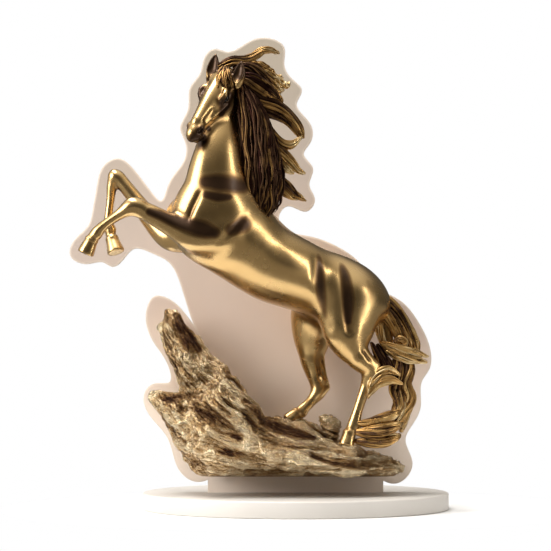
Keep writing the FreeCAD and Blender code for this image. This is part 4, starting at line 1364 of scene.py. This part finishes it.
def patina_bronze():
    f = Finish("patina_bronze", Metallic=1.0)
    gold, hollow = f.stored("gold"), f.stored("hollow")
    streaks = f.noise(420.0, 3.0)
    # The gold level, less painted shade in the grooves, with random streaks of tone.
    gold_tone_and_groove_shade = f.maths("ADD", gold, f.spread(streaks, 0.30, 0.70, -0.08, 0.08))
    gold_tone_and_groove_shade = f.maths("SUBTRACT", gold_tone_and_groove_shade, f.maths("MULTIPLY", hollow, 0.55))
    colour = f.ramp(
        gold_tone_and_groove_shade, (0.0, PLUM), (0.22, (0.10, 0.055, 0.03)), (0.50, DEEP_GOLD), (0.75, GOLD), (1.0, PALE_GOLD)
    )
    f.drive("Base Color", colour)
    f.drive("Roughness", f.spread(streaks, 0.3, 0.7, 0.24, 0.40))
    f.drive("Normal", f.bump(f.noise(900.0, 2.0), 0.02, 0.6))
    return f.material


def crag_bronze():
    f = Finish("crag_bronze", Metallic=1.0)
    hollow, grain = f.stored("hollow"), f.stored("grain", vector=True)
    streak = f.noise(1.0, 5.0, f.stretch(grain, (0.20, 0.60, 1.5)), 0.62, 0.9)
    crinkle = f.noise(1.0, 4.0, f.stretch(grain, (0.9, 1.3, 2.1)), 0.65, 1.6)
    grain_and_painted_light = f.maths("ADD", hollow, f.spread(streak, 0.3, 0.7, -0.34, 0.34))
    grain_and_painted_light = f.maths("ADD", grain_and_painted_light, f.spread(crinkle, 0.3, 0.7, -0.34, 0.34))
    # Colour from cream, partly a painted highlight on the crests, through gold and brown to near black, the
    # painted shade of the recesses and furrows; the grain streaks and crinkles add the metal's own tone.
    colour = f.ramp(
        grain_and_painted_light, (0.20, (0.97, 0.82, 0.56)), (0.38, (0.66, 0.43, 0.19)), (0.57, (0.32, 0.175, 0.07)),
        (0.74, (0.075, 0.032, 0.018)), (1.0, (0.022, 0.010, 0.007)),
    )
    f.drive("Base Color", colour)
    f.drive("Roughness", f.spread(grain_and_painted_light, 0.2, 0.9, 0.20, 0.42))
    fine = f.bump(crinkle, 1.6, 1.0)
    f.drive("Normal", f.bump(streak, 2.0, 1.0, fine))
    return f.material


def eye_black():
    f = Finish("eye_black", Roughness=0.10, IOR=1.38, Specular_IOR_Level=0.35)
    ring = f.noise(1500.0, 2.0)
    f.drive("Base Color", f.mix(f.spread(ring, 0.3, 0.7), (0.004, 0.003, 0.003), (0.020, 0.012, 0.008)))
    return f.material


def tinted_acrylic():
    f = Finish("tinted_acrylic", Roughness=0.30, IOR=1.49, Specular_IOR_Level=0.25)
    # Colour by height: paler toward the foot, where the crag shades the panel, and darker toward the top,
    # where the lamps fall strongest; painted light and painted shade over the beige tone.
    height = f.node("SeparateXYZ", f.place()).outputs["Z"]
    haze = f.spread(f.noise(14.0, 2.0), 0.35, 0.65, -0.008, 0.008)
    level = f.spread(f.maths("ADD", height, haze), 0.0, 0.17)
    body = f.ramp(
        level, (0.10, (0.99, 0.88, 0.78)), (0.30, (0.92, 0.77, 0.66)), (0.42, (0.80, 0.66, 0.57)),
        (0.66, (0.65, 0.565, 0.505)), (1.0, (0.58, 0.515, 0.42)),
    )
    # A paler border round the faces: a painted edge highlight.
    edge = f.spread(f.stored("rim"), 0.0, 1.0)
    f.drive("Base Color", f.mix(edge, body, (0.93, 0.83, 0.73)))
    return f.material


def frosted_acrylic():
    f = Finish("frosted_acrylic", Roughness=0.42, IOR=1.49, Subsurface_Weight=0.15)
    # Darker down the sides and paler on the top face: painted shade and painted light, as the lamps fall
    # from above.
    height = f.node("SeparateXYZ", f.place()).outputs["Z"]
    cloud = f.spread(f.noise(40.0, 2.0), 0.3, 0.7, -0.0006, 0.0006)
    level = f.spread(f.maths("ADD", height, cloud), 0.0, 0.006)
    tint = f.ramp(level, (0.0, (0.62, 0.59, 0.55)), (0.9, (0.70, 0.675, 0.64)), (1.0, (0.71, 0.675, 0.63)))
    f.drive("Base Color", tint)
    f.shader.inputs["Subsurface Radius"].default_value = (0.004, 0.004, 0.004)
    f.drive("Normal", f.bump(f.noise(2500.0, 1.0), 0.01, 0.4))
    return f.material


def screw_steel():
    f = Finish("screw_steel", Metallic=1.0)
    cloud = f.noise(800.0, 3.0)
    f.drive("Base Color", f.mix(cloud, (0.50, 0.50, 0.50), (0.62, 0.61, 0.60)))
    f.drive("Roughness", f.spread(cloud, 0.3, 0.7, 0.22, 0.36))
    return f.material


def pale_floor():
    f = Finish("pale_floor", Roughness=0.7, Specular_IOR_Level=0.2)
    f.drive("Base Color", f.mix(f.noise(3.0, 2.0), (0.86, 0.86, 0.855), (0.88, 0.88, 0.875)))
    return f.material


# ---------------------------------------------------------------- assembly
def dress(obj, material):
    obj.data.materials.clear()
    obj.data.materials.append(material)


def place(obj, body, slot, material, *nodes):
    """Gives a piece its finish, its body, and the CAD nodes that it stands for."""
    dress(obj, material)
    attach(obj, body)
    if nodes:
        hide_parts(*nodes)


BRONZE, PATINA, STEEL = polished_bronze(), patina_bronze(), screw_steel()
for name, casting in cast_horse().items():
    nodes = [name, "left_ear", "right_ear"] if name == "head" else [name]
    place(casting, "statue", "polished_bronze", BRONZE, *nodes)
BLACK = eye_black()
for name, side in (("left_eye", -1), ("right_eye", 1)):
    place(eyeball(name + "_ball", side), "statue", "eye_black", BLACK, name)
for name, (locks, seed, gold, style) in MANE_AND_TAIL.items():
    place(hair(name + "_hair", locks, seed, gold, **style), "statue", "patina_bronze", PATINA, name)
place(crag(), "statue", "crag_bronze", crag_bronze(), "crag_main", "crag_spire", "crag_ledge", "crag_chip")
place(polished_copy("back_panel", 0.35, 0.8), "statue", "tinted_acrylic", tinted_acrylic(), "back_panel")
place(polished_copy("base_disc", 0.15), "base", "frosted_acrylic", frosted_acrylic(), "base_disc")
for name in ("panel_screws", "joint_pins", "hoof_studs"):
    dress(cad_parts[name], STEEL)

# ---------------------------------------------------------------- stage, light and camera
FLOOR_R = 105.0
FLOOR_CORNERS = 96
turns = [2 * math.pi * i / FLOOR_CORNERS for i in range(FLOOR_CORNERS)]
rim = [(math.cos(a) * FLOOR_R * MM, math.sin(a) * FLOOR_R * MM, 0.0) for a in turns]
mesh = bpy.data.meshes.new("floor")
mesh.from_pydata(rim, [], [tuple(range(FLOOR_CORNERS))])
floor = link(bpy.data.objects.new("floor", mesh))
dress(floor, pale_floor())

LIGHTS_AIM = Vector((-7.2, -20.0, 85.0)) * MM
SOFT_LIGHTS = {  # place in mm, width, height in mm, watts, colour
    "key": ((-640, -330, 330), 460, 480, 4.4, (1.0, 0.97, 0.94)),
    "top": ((-230, -90, 880), 620, 380, 8.6, (1.0, 0.98, 0.96)),
    "strip": ((700, -260, 200), 50, 620, 1.4, (1.0, 0.95, 0.88)),
}
for name, (spot, width, height, watts, colour) in SOFT_LIGHTS.items():
    lamp = bpy.data.lights.new(name, "AREA")
    lamp.shape = "RECTANGLE"
    lamp.size, lamp.size_y = width * MM, height * MM
    lamp.energy = watts
    lamp.color = colour
    holder = link(bpy.data.objects.new(name, lamp))
    holder.location = Vector(spot) * MM
    holder.rotation_euler = (LIGHTS_AIM - holder.location).to_track_quat("-Z", "Y").to_euler()


def studio():
    """A white backdrop, and for the reflections a warm dim room with a bright ceiling and left wall."""
    world = bpy.data.worlds.new("studio")
    world.use_nodes = True
    n = Nodes(world.node_tree)
    n.tree.nodes.clear()
    x, y, z = n.node("SeparateXYZ", n.node("TexCoord").outputs["Generated"]).outputs
    ceiling = n.spread(z, 0.45, 0.95, 0.0, 0.9, smooth=True)
    wall = n.spread(x, -0.45, -0.85, 0.0, 0.6, smooth=True)
    wall = n.maths("MULTIPLY", wall, n.spread(z, -0.25, 0.25, 0.2, 1.0, smooth=True))
    room = n.spread(z, -0.3, 0.5, 0.05, 0.11, smooth=True)
    ground = n.spread(z, -0.04, -0.22, 0.0, 0.24, smooth=True)
    light = n.maths("ADD", n.maths("ADD", ceiling, wall), n.maths("ADD", room, ground))
    colour = n.mix(n.spread(light, 0.1, 1.0), (1.0, 0.90, 0.76), (1.0, 0.98, 0.95))
    mirrored = n.node("Background", colour, light)
    backdrop = n.node("Background", (1.0, 1.0, 1.0, 1.0), 1.0)
    seen = n.node("LightPath").outputs["Is Camera Ray"]
    blend = n.node("MixShader", seen, mirrored.outputs[0], backdrop.outputs[0])
    n.node("OutputWorld", blend.outputs[0])
    bpy.context.scene.world = world


studio()
CAMERA_AT = Vector((-7.2, -1000.0, 66.0)) * MM
CAMERA_AIM = Vector((-7.2, 0.0, 83.9)) * MM
CAMERA_LENS = 181.5
lens = bpy.data.cameras.new("camera")
lens.lens = CAMERA_LENS
camera = link(bpy.data.objects.new("camera", lens))
camera.location = CAMERA_AT
camera.rotation_euler = (CAMERA_AIM - CAMERA_AT).to_track_quat("-Z", "Y").to_euler()
bpy.context.scene.camera = camera
bpy.context.scene.view_settings.view_transform = "Standard"
